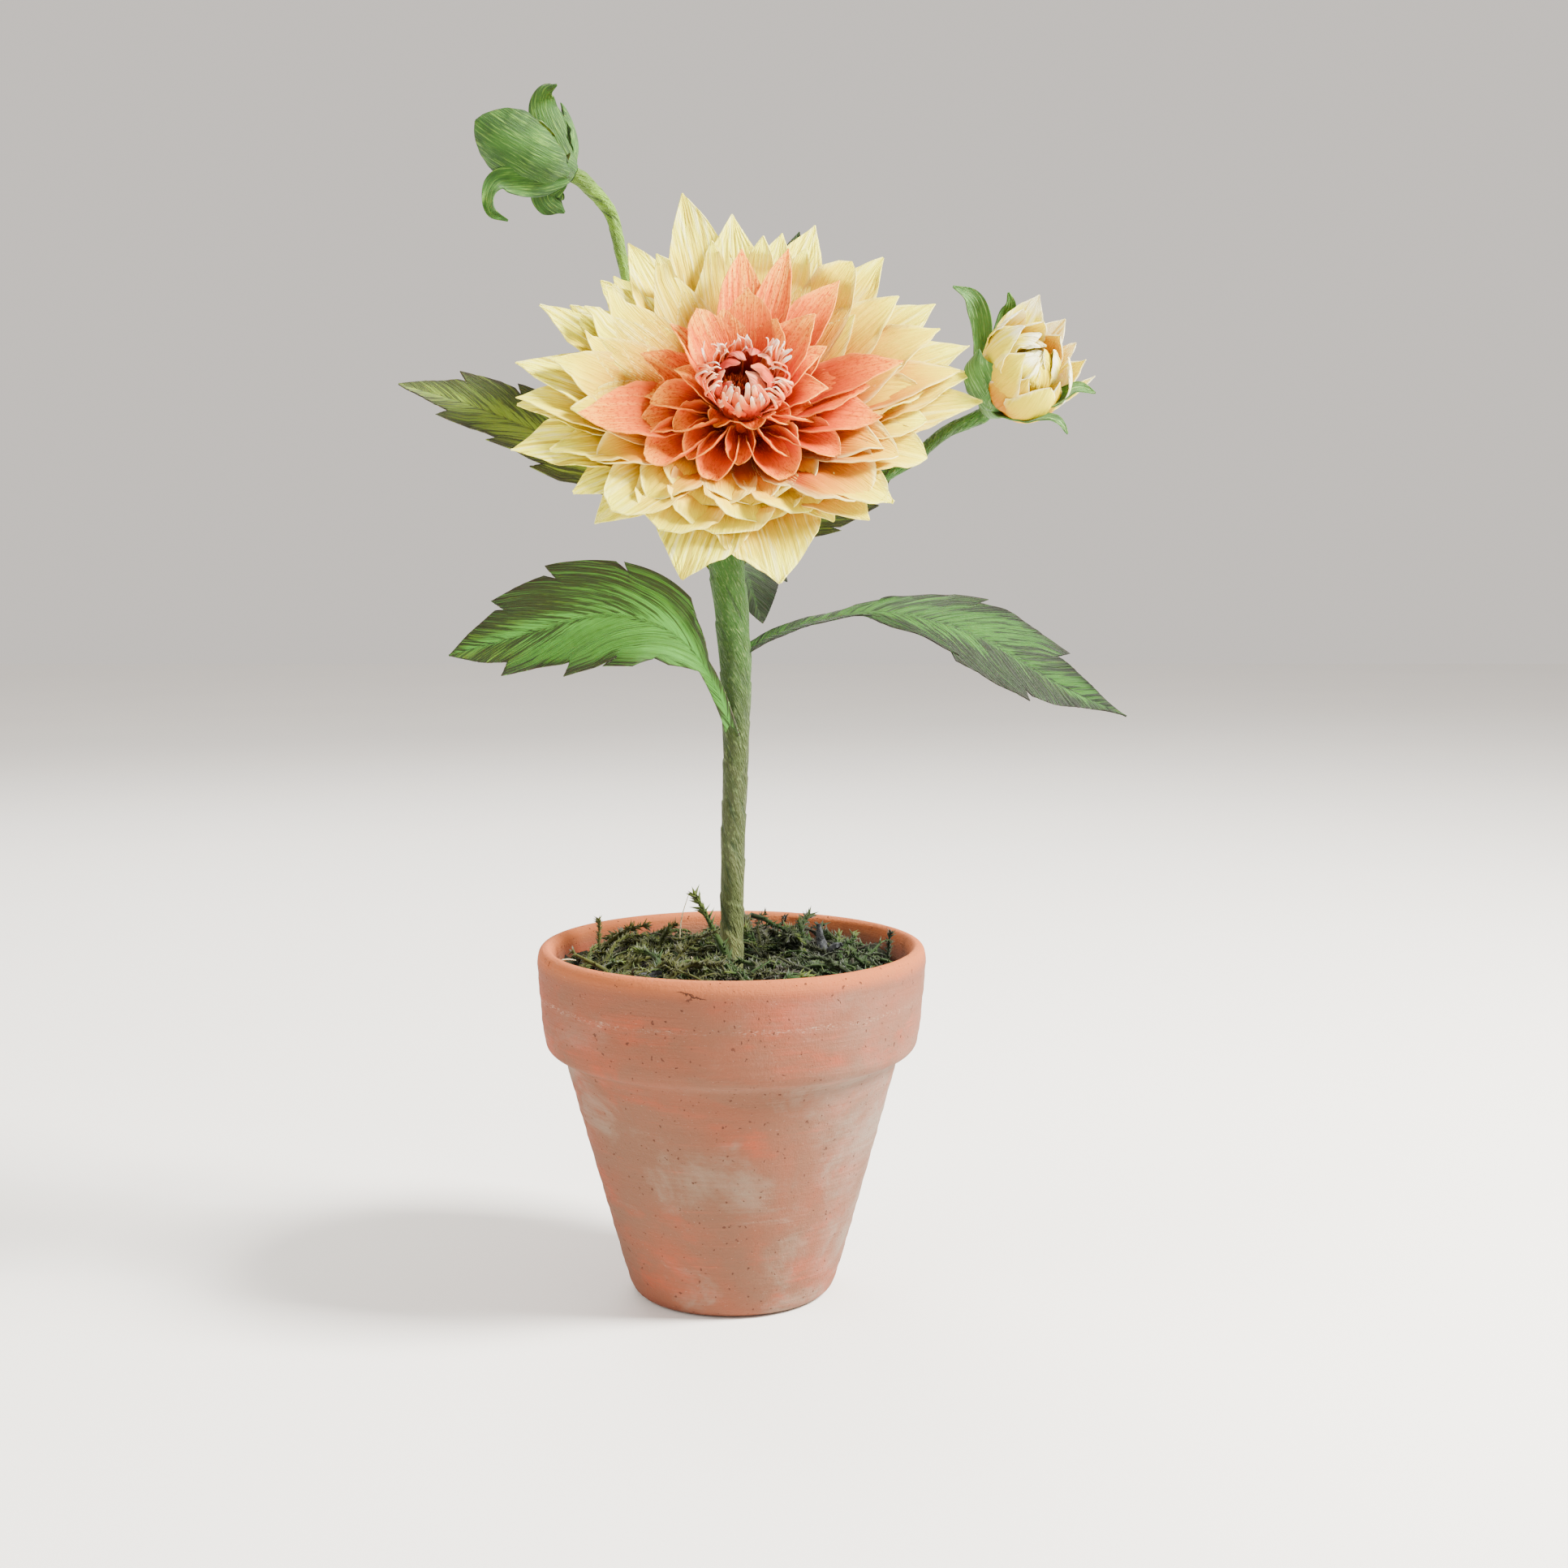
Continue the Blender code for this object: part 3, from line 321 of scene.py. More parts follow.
def clay(name):
    """Bare fired clay: an orange lip, a chalky grey bloom brushed round it, made a little greyer and
    lighter towards the right as painted light, pits, a faint line of flecks round the band and a
    short crack in front, under the lip."""
    r = Recipe(name, Specular_IOR_Level=0.25)
    spot = r.spot()
    x, y, z = r.split(spot)
    broad = r.noise(spot, (11, 11, 17), 4, 0.6, 0.8)
    smear = r.noise(spot, (22, 22, 34), 5, 0.68, 0.5)
    blot = r.noise(spot, (34, 34, 60), 4, 0.6, 0.3)
    brush = r.noise(spot, (26, 26, 850), 4, 0.7)
    chalk = r.noise(spot, (700, 700, 2200), 3, 0.7)
    grit = r.noise(spot, 1400)
    sand = r.noise(spot, 420, 4, 0.7)
    pits = r.ease(r.noise(spot, 560, 1), 0.71, 0.76)
    stroke = brush - 0.5
    # haze is the chalky bloom; its last term, lighter towards the right where the key light falls, is
    # painted light.
    haze = smear * 0.55 + broad * 0.35 + stroke * 0.12 + r.ease(x, -0.01, 0.05) * 0.13
    wall = r.ease(z, 0.137, 0.128) * (1 - 0.7 * r.ease(z, 0.094, 0.1))
    line = (z + (blot - 0.5) * 0.006 - 0.1195).abs()
    flecks = r.ease(chalk, 0.52, 0.64) * r.ease(broad, 0.42, 0.6)
    crack = (z + (sand - 0.5) * 0.0045 + x * 0.25 - 0.1271).abs()
    front = r.ease((x + 0.0254).abs(), 0.006, 0.004) * r.ease(y, -0.06, -0.07)
    colour = r.coat("6F4D3B", "7E4833", broad, 0.35, 0.62)
    colour = r.coat(colour, "94452C", blot * 0.6 + broad * 0.5 + stroke * 0.2, 0.54, 0.7, 0.75)
    colour = r.coat(colour, "827A6E", haze, 0.45, 0.7, wall * 0.8)
    colour = r.coat(colour, "80705E", smear + stroke * 0.12, 0.5, 0.72, wall * 0.5)
    colour = r.coat(colour, "A0533A", brush, 0.55, 0.75, 0.2)
    colour = r.coat(colour, "B2602F", z, 0.130, 0.138, 0.75)
    colour = r.coat(colour, "CDB8A2", line, 0.0016, 0.0004, flecks * 0.28)
    colour = r.coat(colour, "241008", crack, 0.0006, 0.0002, front * 0.85)
    colour = r.coat(colour, "C8B09C", chalk, 0.66, 0.74, 0.35)
    colour = r.mix(colour, "4A281C", pits * 0.8)
    colour = r.coat(colour, "7C4632", sand, 0.45, 0.3, 0.3)
    height = sand * 0.8 + grit * 0.4 + smear * 0.5 + brush * 0.7 - pits * 1.5
    return r.finish(colour, 0.86 + 0.08 * (grit - 0.5), height, 0.0008, 0.6)


def moss_thread(name, low, high, old):
    """Dried moss: olive to green by the strand, with painted shadow to the right and painted shade
    towards its root and deep in the mat, with a few old brown strands and light tips."""
    r = Recipe(name, Sheen_Weight=0.1, Specular_IOR_Level=0.2)
    along, _, chance = r.split(r.attribute("place"))
    x, _, z = r.split(r.spot())
    # right masks the painted shadow over the right of the moss, which turns it greener and darker.
    right = r.ease(x, -0.06, 0.04)
    colour = r.coat(low, high, chance * 0.8 + right * 0.35, 0.25, 0.85)
    colour = r.coat(colour, "0A1208", chance, 0.75, 0.25, right * 0.85)
    colour = r.coat(colour, old, chance, 0.14, 0.04, 0.9)
    # Painted shade towards each strand's root.
    colour = r.coat(colour, "1B2110", along, 0.45, 0, 0.8)
    colour = r.coat(colour, "66702A", along, 0.7, 1, r.ease(chance, 0.45, 0.9) * 0.4)
    # Painted shade deep in the mat.
    colour = r.coat(colour, "11170B", z, 0.131, 0.122, 0.7)
    return r.finish(colour, 0.9)


def crumbs(name, first, second):
    """Earth, bark, straw, or the moss mat painted near black as painted shade in the gaps between the
    strands: two tones by blots, with a crumbly surface.
    """
    r = Recipe(name, Specular_IOR_Level=0.2)
    spot = r.spot()
    blot = r.noise(spot, 240, 5, 0.7)
    grit = r.noise(spot, 900, 4, 0.7)
    colour = r.coat(first, second, blot * 0.6 + grit * 0.4, 0.4, 0.62)
    return r.finish(colour, 0.93, blot + grit * 0.6, 0.002, 0.9)


def plain_floor(name):
    """A pale matt studio surface with the faintest mottle."""
    r = Recipe(name, Specular_IOR_Level=0.2)
    return r.finish(r.mix("EFEDEA", "F5F3F0", r.noise(r.spot(), 3, 3)), 0.85)


# Meshes


def linked(name, data):
    thing = bpy.data.objects.new(name, data)
    bpy.context.scene.collection.objects.link(thing)
    return thing


def add_mesh(name, points, faces, material, nodes, marks=None, sharp=50):
    """A piece from points in millimetres, which rides on the part and stands for the nodes.

    marks are its points' attributes by name. Edges that turn more than sharp degrees stay sharp.
    """
    places = (np.asarray(points, float) - (MIDDLE_X, 0, 0)) * MM
    corners = [face for block in faces for face in block.tolist()]
    mesh = bpy.data.meshes.new(name)
    mesh.from_pydata(places.tolist(), [], corners)
    for key, values in (marks or {}).items():
        mark = mesh.attributes.new(key, "FLOAT_VECTOR", "POINT")
        mark.data.foreach_set("vector", np.asarray(values, np.float32).ravel())
    mesh.materials.append(material)
    mesh.shade_smooth()
    mesh.set_sharp_from_angle(angle=math.radians(sharp))
    piece = linked(name, mesh)
    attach(piece, "root")
    if nodes:
        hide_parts(*nodes)


def quads(rows, columns, ring=False, loop=False):
    """Faces of a grid. ring joins its last column to the first, and loop its last row."""
    i = np.arange(rows if loop else rows - 1)[:, None]
    j = np.arange(columns if ring else columns - 1)[None, :]
    ahead, beside = (i + 1) % rows * columns, (j + 1) % columns
    corners = (i * columns + j, ahead + j, ahead + beside, i * columns + beside)
    return np.stack(corners, -1).reshape(-1, 4)


def round_angles(sides):
    return np.linspace(0, TURN, sides, endpoint=False)


def three(*parts):
    """One array of vectors from three arrays or numbers, spread to one shape."""
    return np.stack(np.broadcast_arrays(*parts), -1)


def unit(vectors):
    return vectors / (np.linalg.norm(vectors, axis=-1, keepdims=True) + 1e-12)


def repeated(faces, size, count):
    """The faces of one set of size points, numbered for count sets that follow one another."""
    every = faces[None] + (size * np.arange(count))[:, None, None]
    return every.reshape(-1, faces.shape[1])


def shells(grid, thickness):
    """Closed thin shells from middle sheets of shape (sheets, rows, columns, 3).

    Each sheet is moved half the thickness to both sides along its normals, which are the cross
    products of its two slopes, and its rim is closed.
    """
    count, rows, columns, _ = grid.shape
    normal = unit(np.cross(np.gradient(grid, axis=-3), np.gradient(grid, axis=-2)))
    half = 0.5 * thickness * normal
    points = np.stack([grid + half, grid - half], 1).reshape(-1, 3)
    size = rows * columns
    top = quads(rows, columns)
    i, j = np.arange(rows - 1), np.arange(columns - 1)
    last = (rows - 1) * columns
    sides = (
        ((i + 1) * columns, i * columns),
        (i * columns + columns - 1, (i + 1) * columns + columns - 1),
        (j, j + 1),
        (last + j + 1, last + j),
    )
    rim = [np.stack([a, b, b + size, a + size], -1) for a, b in sides]
    one = np.concatenate([top, top[:, ::-1] + size, *rim])
    return points, repeated(one, 2 * size, count)


def sheets_piece(name, sheet, flower, thickness, paper, node):
    """A piece of paper shells. sheet has the middle sheets in the flower's frame, their place and
    their grain, which both sides of a shell share."""
    grid, *both = sheet
    points, faces = shells(placed(grid, flower), thickness)
    place, grain = (np.stack([values, values], 1).reshape(-1, 3) for values in both)
    add_mesh(name, points, [faces], paper, [node], {"place": place, "grain": grain})


def smooth_line(points, count):
    """A curve through the points, each a row of any width, at count even stations.

    Between two points it is a cubic, whose slope at a point is half the step between the point's
    neighbours. The line goes on straight past its ends.
    """
    rows = np.array(points, float)
    rows = np.vstack([2 * rows[0] - rows[1], rows, 2 * rows[-1] - rows[-2]])
    place = np.linspace(0, len(rows) - 3 - 1e-9, count)
    first = place.astype(int)
    t = (place - first)[:, None]
    a, b, c, d = (rows[first + k] for k in range(4))
    even = 2 * b + (c - a) * t
    bend = (2 * a - 5 * b + 4 * c - d) * t**2
    sway = (3 * b - a - 3 * c + d) * t**3
    return 0.5 * (even + bend + sway)


def run_of(line):
    """Length along a line of points, from its start to each point."""
    steps = np.linalg.norm(np.diff(line, axis=0), axis=1)
    return np.concatenate([[0], np.cumsum(steps)])


def carried_frames(line):
    """Two unit vectors across a line at each point, carried along it with as little turn as can be."""
    ahead = unit(np.gradient(line, axis=0))
    sides = [unit(np.cross(ahead[0], (0.31, 0.95, 0.05)))]
    for step in ahead[1:]:
        sides.append(unit(sides[-1] - step * (sides[-1] @ step)))
    side = np.array(sides)
    return side, np.cross(ahead, side)


def tube(line, radii, sides):
    """Points and faces of a round bar. radii has a radius for each station, or one for each point.

    A point is the line's point plus the radius times cos of its angle along one cross direction
    and sin of it along the other. Each end is closed by one face.
    """
    side, other = carried_frames(line)
    angle = round_angles(sides)[None, :, None]
    reach = np.asarray(radii, float).reshape(len(line), -1, 1)
    ring = np.cos(angle) * side[:, None] + np.sin(angle) * other[:, None]
    grid = line[:, None] + ring * reach
    faces = quads(len(line), sides, ring=True)[:, ::-1]
    last = (len(line) - 1) * sides
    ends = np.array([np.arange(sides)[::-1], last + np.arange(sides)])
    return grid, faces, ends


def joined(parts):
    """Several (points, quads, end faces, marks) as one set, with the faces renumbered."""
    points, faces, ends, start = [], [], [], 0
    marks = {key: [] for key in parts[0][3]}
    for body, four, many, mark in parts:
        points.append(body)
        faces.append(four + start)
        ends.append(many + start)
        start += len(body)
        for key, values in mark.items():
            marks[key].append(values)
    whole = {key: np.concatenate(values) for key, values in marks.items()}
    return np.concatenate(points), [np.concatenate(faces), *ends], whole


def frame_of(point, axis):
    """A point, and as rows the directions x, y and z there. z is the axis and y leans upwards."""
    z = np.array(axis, float) / np.linalg.norm(axis)
    y = np.array((0, 0, 1)) - z * z[2]
    y /= np.linalg.norm(y)
    return np.array(point, float), np.stack([np.cross(y, z), y, z])


def placed(grid, flower):
    point, axes = flower
    return point + grid @ axes


POT_FRAME = (np.zeros(3), np.eye(3))


def lathe_piece(name, profile, sides, flower, paper, nodes):
    """A profile of (radius, height) turned about the flower's axis. Each end is closed by one face."""
    profile = np.array(profile, float)
    angle = round_angles(sides)[None, :]
    radius, height = profile[:, :1], profile[:, 1:]
    grid = three(radius * np.cos(angle), radius * np.sin(angle), height)
    faces = quads(len(profile), sides, ring=True)
    last = (len(profile) - 1) * sides
    ends = np.array([np.arange(sides), last + np.arange(sides)[::-1]])
    if profile[-1, 1] > profile[0, 1]:
        faces, ends = faces[:, ::-1], ends[:, ::-1]
    run = run_of(profile)[:, None]
    place = three(run / run.max(), 0, 0.5 + 0 * angle).reshape(-1, 3)
    grain = three(radius * angle * MM, run * MM, 0).reshape(-1, 3)
    marks = {"place": place, "grain": grain}
    points = placed(grid, flower).reshape(-1, 3)
    add_mesh(name, points, [faces, ends[:1], ends[1:]], paper, nodes, marks)


# Petals

# Where a petal is widest, how blunt its tip is and how far its cup opens on the way to the tip,
# by its kind: pointed, spoon or broad.
PETAL_KINDS = {"p": (0.54, 1, 0.85), "s": (0.62, 0.62, 0.5), "b": (0.68, 0.45, 0.6)}
PETAL_ROOT_SHARE = 0.22
ROOT_ROLL = 1.25
BULGE_PULL = 1.6
RAG = 0.014
SHEET_GAP = 61


def petal_sheets(table, rows, columns, seed, ruffle, crepe, uneven=1):
    """Middle sheets of petals about a flower's axis, with their place and grain.

    table has a row for each petal: azimuth, root radius and height, tip radius and height, width,
    bulge, half angle of the cup, where it is widest, how blunt its tip is, how far the cup opens,
    and how far the tip bends back. The petal's line is a quadratic curve from root to tip. Its
    cross-section is an arc with its middle on the line, of half angle curl * (ROOT_ROLL - opening
    * u). The rim waves by ruffle times the cube of the distance from the middle, and ridges of
    height crepe run lengthwise. uneven scales the ragged rim, the tilt and the sideways lean.
    """
    rng = np.random.default_rng(seed)
    count = len(table)
    column = np.array(table, float).T[:, :, None, None]
    azimuth, root_r, root_h, tip_r, tip_h, width, bulge, curl, widest, point, opening, flick = column
    one = (count, 1, 1)
    u = np.linspace(0, 1, rows)[None, :, None]
    v = np.linspace(-1, 1, columns)[None, None, :]
    along_r, along_h = tip_r - root_r, tip_h - root_h
    length = np.hypot(along_r, along_h)
    middle_r = root_r + 0.5 * along_r - along_h / length * bulge * BULGE_PULL
    middle_h = root_h + 0.5 * along_h + along_r / length * bulge * BULGE_PULL
    line_r = (1 - u) ** 2 * root_r + 2 * u * (1 - u) * middle_r + u**2 * tip_r
    line_h = (1 - u) ** 2 * root_h + 2 * u * (1 - u) * middle_h + u**2 * tip_h
    slope_r = (1 - u) * (middle_r - root_r) + u * (tip_r - middle_r)
    slope_h = (1 - u) * (middle_h - root_h) + u * (tip_h - middle_h)
    steep = np.hypot(slope_r, slope_h)
    in_r, in_h = -slope_h / steep, slope_r / steep
    quarter = 0.5 * math.pi
    grow = np.sin(quarter * np.minimum(u / widest, 1))
    close = np.cos(quarter * np.clip((u - widest) / (1 - widest), 0, 1))
    share = np.where(u < widest, PETAL_ROOT_SHARE + (1 - PETAL_ROOT_SHARE) * grow, close**point)
    phase = rng.uniform(0, TURN, one)
    ragged = 0.018 * np.sin(23 * u + phase) + RAG * np.sin(41 * u + 2 * phase)
    ragged = ragged + rng.normal(0, RAG, (count, rows, 1)) * np.clip(2.5 * u - 1, 0, 1)
    half = 0.5 * width * np.maximum(share * (1 + uneven * ragged * u), 0.012)
    half_arc = np.radians(curl) * (ROOT_ROLL - opening * u)
    roll = np.tan(np.radians(uneven * rng.uniform(-8, 8, one)))
    side = half * np.sin(half_arc * v) / half_arc
    rise = half * (1 - np.cos(half_arc * v)) / half_arc + side * roll
    edge = np.abs(v) ** 3 * u * (1.2 - u)
    beat = rng.uniform(2.2, 4.2, one)
    swing = np.sin(TURN * beat * u + rng.uniform(0, TURN, one) + np.sign(v) * rng.uniform(0, 3, one))
    swing += 0.45 * np.sin(2.7 * TURN * beat * u + rng.uniform(0, TURN, one) + 2.2 * np.sign(v))
    rise += ruffle * edge * swing * rng.uniform(0.6, 1.4, one) * width / 28
    folds = rng.uniform(3.2, 5.2, one)
    ridge = np.sin(TURN * (folds * v + 0.35 * np.sin(2.4 * u + phase)) + phase)
    ridge += 0.6 * np.sin(TURN * (1.9 * folds * v + 0.5 * u) + 3 * phase)
    rise += crepe * ridge * (0.25 + 0.75 * u) * np.minimum(1, 6 * (1 - u) + 0.1)
    rise -= flick * np.clip((u - 0.62) / 0.38, 0, 1) ** 2
    side += 0.4 * uneven * np.sin(quarter * u) * rng.uniform(-3, 3, one) * u
    radial = line_r + in_r * rise
    turn = np.radians(azimuth)
    x = radial * np.cos(turn) - side * np.sin(turn)
    y = radial * np.sin(turn) + side * np.cos(turn)
    grid = three(x, y, line_h + in_h * rise)
    # Paleness is painted light: petals towards the rear and the left of the bloom, and petals whose tips
    # hang low, are painted paler as painted highlight, with a chance share for each petal.
    pale = 0.5 + 0.26 * np.sin(turn) - 0.14 * np.cos(turn) + rng.uniform(-0.14, 0.14, one)
    pale = pale + 0.5 * np.clip(1 - tip_h / 9, 0, 1)
    place = three(u, v, pale)
    order = np.arange(count)[:, None, None]
    grain = three((half * v + SHEET_GAP * order) * MM, u * length * MM, order)
    return grid, place, grain


def ribbons(table, rows, columns, seed, ruffle, crepe):
    """Middle sheets of curved strips, each about a line in space, with their place and grain.

    table has for each strip its points with a half width at each, the ways that its face looks
    from root to tip, and the half angle in degrees of its cross-section's arc, which is hollow
    towards the face where it is above 0.
    """
    rng = np.random.default_rng(seed)
    v = np.linspace(-1, 1, columns)[None, :]
    sheets = []
    for order, (points, faces, cup) in enumerate(table):
        line = smooth_line(points, rows)
        ahead = unit(np.gradient(line[:, :3], axis=0))
        across = unit(np.cross(smooth_line(faces, rows), ahead))
        up = np.cross(ahead, across)
        run = run_of(line[:, :3])[:, None]
        u = run / run.max()
        phase = rng.uniform(0, TURN, 4)
        half = np.maximum(line[:, 3:], 0.15) * (1 + 0.03 * np.sin(17 * u + phase[0]))
        arc = math.radians(cup)
        side = half * np.sin(arc * v) / arc
        rise = half * (1 - np.cos(arc * v)) / arc
        rim = np.abs(v) ** 3 * np.sin(math.pi * np.clip(u, 0, 1)) ** 0.5
        rise = rise + ruffle * rim * np.sin(TURN * 2.3 * u + phase[1] + 2 * np.sign(v))
        rise = rise + 0.4 * ruffle * rim * np.sin(TURN * 6.1 * u + phase[2] + 2 * np.sign(v))
        rise = rise + crepe * np.sin(TURN * (4.3 * v + 0.4 * np.sin(3 * u + phase[3])) + phase[3])
        grid = line[:, None, :3] + across[:, None] * side[..., None] + up[:, None] * rise[..., None]
        grain = three((half * v + SHEET_GAP * order) * MM, run * MM, order)
        sheets.append((grid, three(u, v, rng.uniform(0.2, 0.8)), grain))
    return [np.stack(part) for part in zip(*sheets)]


# The bloom

BLOOM_POINT = (3, -12, 327)
BLOOM_ELEVATION = math.radians(40)
BLOOM_LEAN = math.radians(4)
BLOOM_FRAME = frame_of(
    BLOOM_POINT,
    (
        math.sin(BLOOM_LEAN),
        -math.cos(BLOOM_ELEVATION) * math.cos(BLOOM_LEAN),
        math.sin(BLOOM_ELEVATION) * math.cos(BLOOM_LEAN),
    ),
)
YELLOW_NODE, CORAL_NODE, CENTRE_NODE = "bloom_yellow_petals", "bloom_coral_petals", "bloom_centre"

# Where the petals of each layer are rooted: radius, height, and the bulge of their line.
LAYER_ROOTS = ((12.5, -2, 6), (12, 2, 4), (11, 6, 5), (10, 9.5, 5),
               (8, 17, 3), (7.5, 20.5, 2.5), (7, 25, 2))

# How much paler than the ramp's middle each layer of yellow petals is. The inner layers are deeper
# as painted shade between the petals, the outer ones paler.
YELLOW_PALENESS = (0.36, 0.14, -0.14, -0.4)

# Petals by layer, outermost first: azimuth, tip radius, tip height, width, half angle of the
# cup, and kind.
YELLOW_LAYERS = (
    (
        (6, 91.7, 21.6, 30, 34, "p"), (21, 95, 25, 29, 34, "p"), (40, 88, 21, 30, 34, "p"),
        (60, 89, 21, 30, 34, "p"), (80, 92, 22, 30, 34, "p"), (100, 92, 22, 30, 34, "p"),
        (122, 86, 22, 30, 34, "p"), (142, 82, 21, 30, 34, "p"), (158, 80, 21, 29, 34, "p"),
        (174, 82, 21, 29, 34, "p"), (190, 85, 20, 30, 32, "p"), (206, 68.7, 14.5, 29, 34, "p"),
        (218, 68.9, 11.5, 29, 34, "p"), (249, 66.6, 3.7, 38, 26, "p"), (280, 65.3, 3.4, 42, 26, "p"),
        (309, 52.5, 10.6, 29, 36, "p"), (330, 64.2, 12.1, 29, 34, "p"), (348, 70.1, 17.8, 30, 36, "s"),
    ),
    (
        (12, 89.6, 26.2, 28, 36, "p"), (33, 88.9, 33.8, 29, 36, "p"), (51, 89.7, 36.3, 28, 36, "p"),
        (69, 90.3, 37.9, 27, 34, "p"), (76, 81.7, 38.3, 26, 34, "p"), (90, 89.4, 38.6, 27, 30, "p"),
        (100, 102.7, 38.5, 27, 30, "p"), (119, 82.2, 39.3, 28, 32, "p"), (133, 74, 37, 27, 32, "p"),
        (144, 76, 34.1, 26, 32, "p"), (150, 84.6, 35.7, 27, 32, "p"), (168, 83.4, 32.3, 30, 32, "p"),
        (177, 81.6, 28.5, 30, 34, "p"), (192, 71.4, 21.9, 29, 36, "p"),
        (220, 63.3, 17.1, 29, 38, "b"), (237, 56, 12.5, 36, 38, "b"), (257, 49.5, 11.6, 42, 38, "b"),
        (278, 44.5, 13.5, 40, 40, "b"), (302, 46.1, 14.9, 36, 40, "b"), (315, 62.5, 14.5, 28, 36, "p"),
        (325, 63.5, 17.9, 29, 34, "s"), (0, 69, 22, 28, 40, "s"),
    ),
    (
        (7, 68.2, 27.7, 24, 48, "s"), (13, 84.6, 28.9, 26, 42, "p"), (24, 82.4, 35.3, 27, 38, "p"),
        (38, 76, 39, 27, 38, "p"), (53, 72.5, 44.3, 26, 40, "s"), (68, 70, 45, 25, 36, "p"),
        (82, 69.3, 46.8, 24, 34, "p"), (98, 67, 46, 25, 34, "p"), (116, 66.5, 45.6, 26, 34, "p"),
        (138, 65.4, 44.6, 28, 36, "p"), (147, 67.3, 41.1, 25, 34, "p"), (168, 71, 36.7, 29, 34, "p"),
        (184, 62, 31, 28, 38, "p"), (225, 50, 17, 27, 46, "s"),
        (245, 39.8, 14.3, 38, 44, "b"), (273, 37.5, 15.1, 38, 42, "b"),
        (322, 57.1, 18, 36, 46, "b"), (343, 60, 22, 27, 46, "s"),
    ),
    (
        (16, 62, 34, 25, 44, "p"), (42, 58, 43, 25, 42, "p"), (64, 57, 46, 24, 40, "p"),
        (90, 53, 48.5, 24, 38, "p"), (112, 54, 48.7, 24, 38, "p"), (134, 52, 45, 24, 40, "p"),
        (155, 62.1, 39.9, 27, 38, "p"), (178, 54, 33, 25, 46, "s"), (202, 57.1, 20.8, 25, 56, "s"),
        (283, 36.1, 14.7, 24, 70, "s"),
        (308, 38, 16.5, 27, 58, "s"), (343, 54.4, 24, 26, 62, "p"),
    ),
)
CORAL_LAYERS = (
    (
        (5, 46.7, 35.2, 25, 46, "p"), (12, 59.9, 40.5, 18, 54, "p"), (33, 36, 40, 17, 50, "p"),
        (52, 61.4, 44.2, 19, 50, "p"), (72, 63.4, 48.3, 15, 50, "p"), (88, 61.5, 46.9, 19, 40, "p"),
        (108, 32, 43, 17, 50, "p"), (131, 31, 42, 16, 52, "p"), (154, 40.4, 36, 18, 50, "p"),
        (173, 36, 31, 20, 60, "p"), (187, 60, 30.1, 26, 38, "p"), (193, 41, 27.5, 20, 66, "p"),
        (213, 43, 20, 23, 92, "s"), (247, 32, 16.5, 22, 98, "s"), (297, 33, 18, 25, 84, "s"),
        (329, 41, 23, 20, 66, "s"), (352, 51.5, 28.9, 22, 50, "p"),
    ),
    (
        (2, 30, 38, 18, 60, "p"), (22, 29, 43, 17, 56, "p"), (42, 35.5, 50.2, 20, 48, "p"),
        (64, 25, 49, 13, 52, "p"), (84, 31.4, 55.1, 18, 44, "p"), (104, 24, 50, 13, 54, "p"),
        (122, 25.8, 52.9, 15, 56, "p"), (137, 32.3, 48, 14, 62, "p"), (162, 24, 40, 16, 58, "p"),
        (184, 33, 33, 17, 66, "s"), (207, 28.5, 28, 18, 92, "s"), (229, 30.5, 22.5, 19, 92, "s"),
        (267, 23, 20, 18, 104, "s"), (311, 27, 22, 20, 92, "s"), (345, 28, 27.5, 18, 84, "s"),
    ),
    (
        (228, 15, 27, 14, 90, "s"), (287, 13.5, 27.5, 16, 92, "s"), (326, 20, 29.5, 15, 84, "s"),
    ),
)

# The face between yellow and coral petals, the funnel that is left for the quills, how far apart
# the papers stay, and how far out the yellow petals are held under the face.
SPLIT_HEIGHT, SPLIT_RADIUS, SPLIT_SLOPE, SPLIT_REAR = 15, 9, 0.32, 0.38
SPLIT_END_RADIUS, SPLIT_END_SLOPE = 60, 1.4
CENTRE_HEIGHT, CENTRE_RADIUS, CENTRE_SLOPE = 30, 9, 0.9
CLEARANCE = 0.7
TRIM_RADIUS = 62


def split_height(grid):
    """Height of the face at the points. It rises with the distance from the axis, more steeply to
    the rear and beyond the end radius."""
    radius = np.hypot(grid[..., 0], grid[..., 1])
    slope = SPLIT_SLOPE * (1 + SPLIT_REAR * grid[..., 1] / (radius + 1e-6))
    beyond = np.maximum(radius - SPLIT_END_RADIUS, 0)
    return SPLIT_HEIGHT + slope * (radius - SPLIT_RADIUS) + SPLIT_END_SLOPE * beyond


def layer_table(layers, first):
    """Rows for petal_sheets. Petals in front arch more. Tips bend back behind the heart, and the
    deep cups in front bend in."""
    rows = []
    for depth, layer in enumerate(layers, first):
        root_r, root_h, bulge = LAYER_ROOTS[depth]
        for azimuth, tip_r, tip_h, width, curl, kind in layer:
            front = max(0, -math.sin(math.radians(azimuth)))
            flick = 2.5 * (1 - front) + (1 - 3 * front) * (curl > 55)
            arch = bulge * (1 + 0.5 * front)
            shape = (*PETAL_KINDS[kind], flick)
            rows.append((azimuth, root_r, root_h, tip_r, tip_h, width, arch, curl, *shape))
    return rows


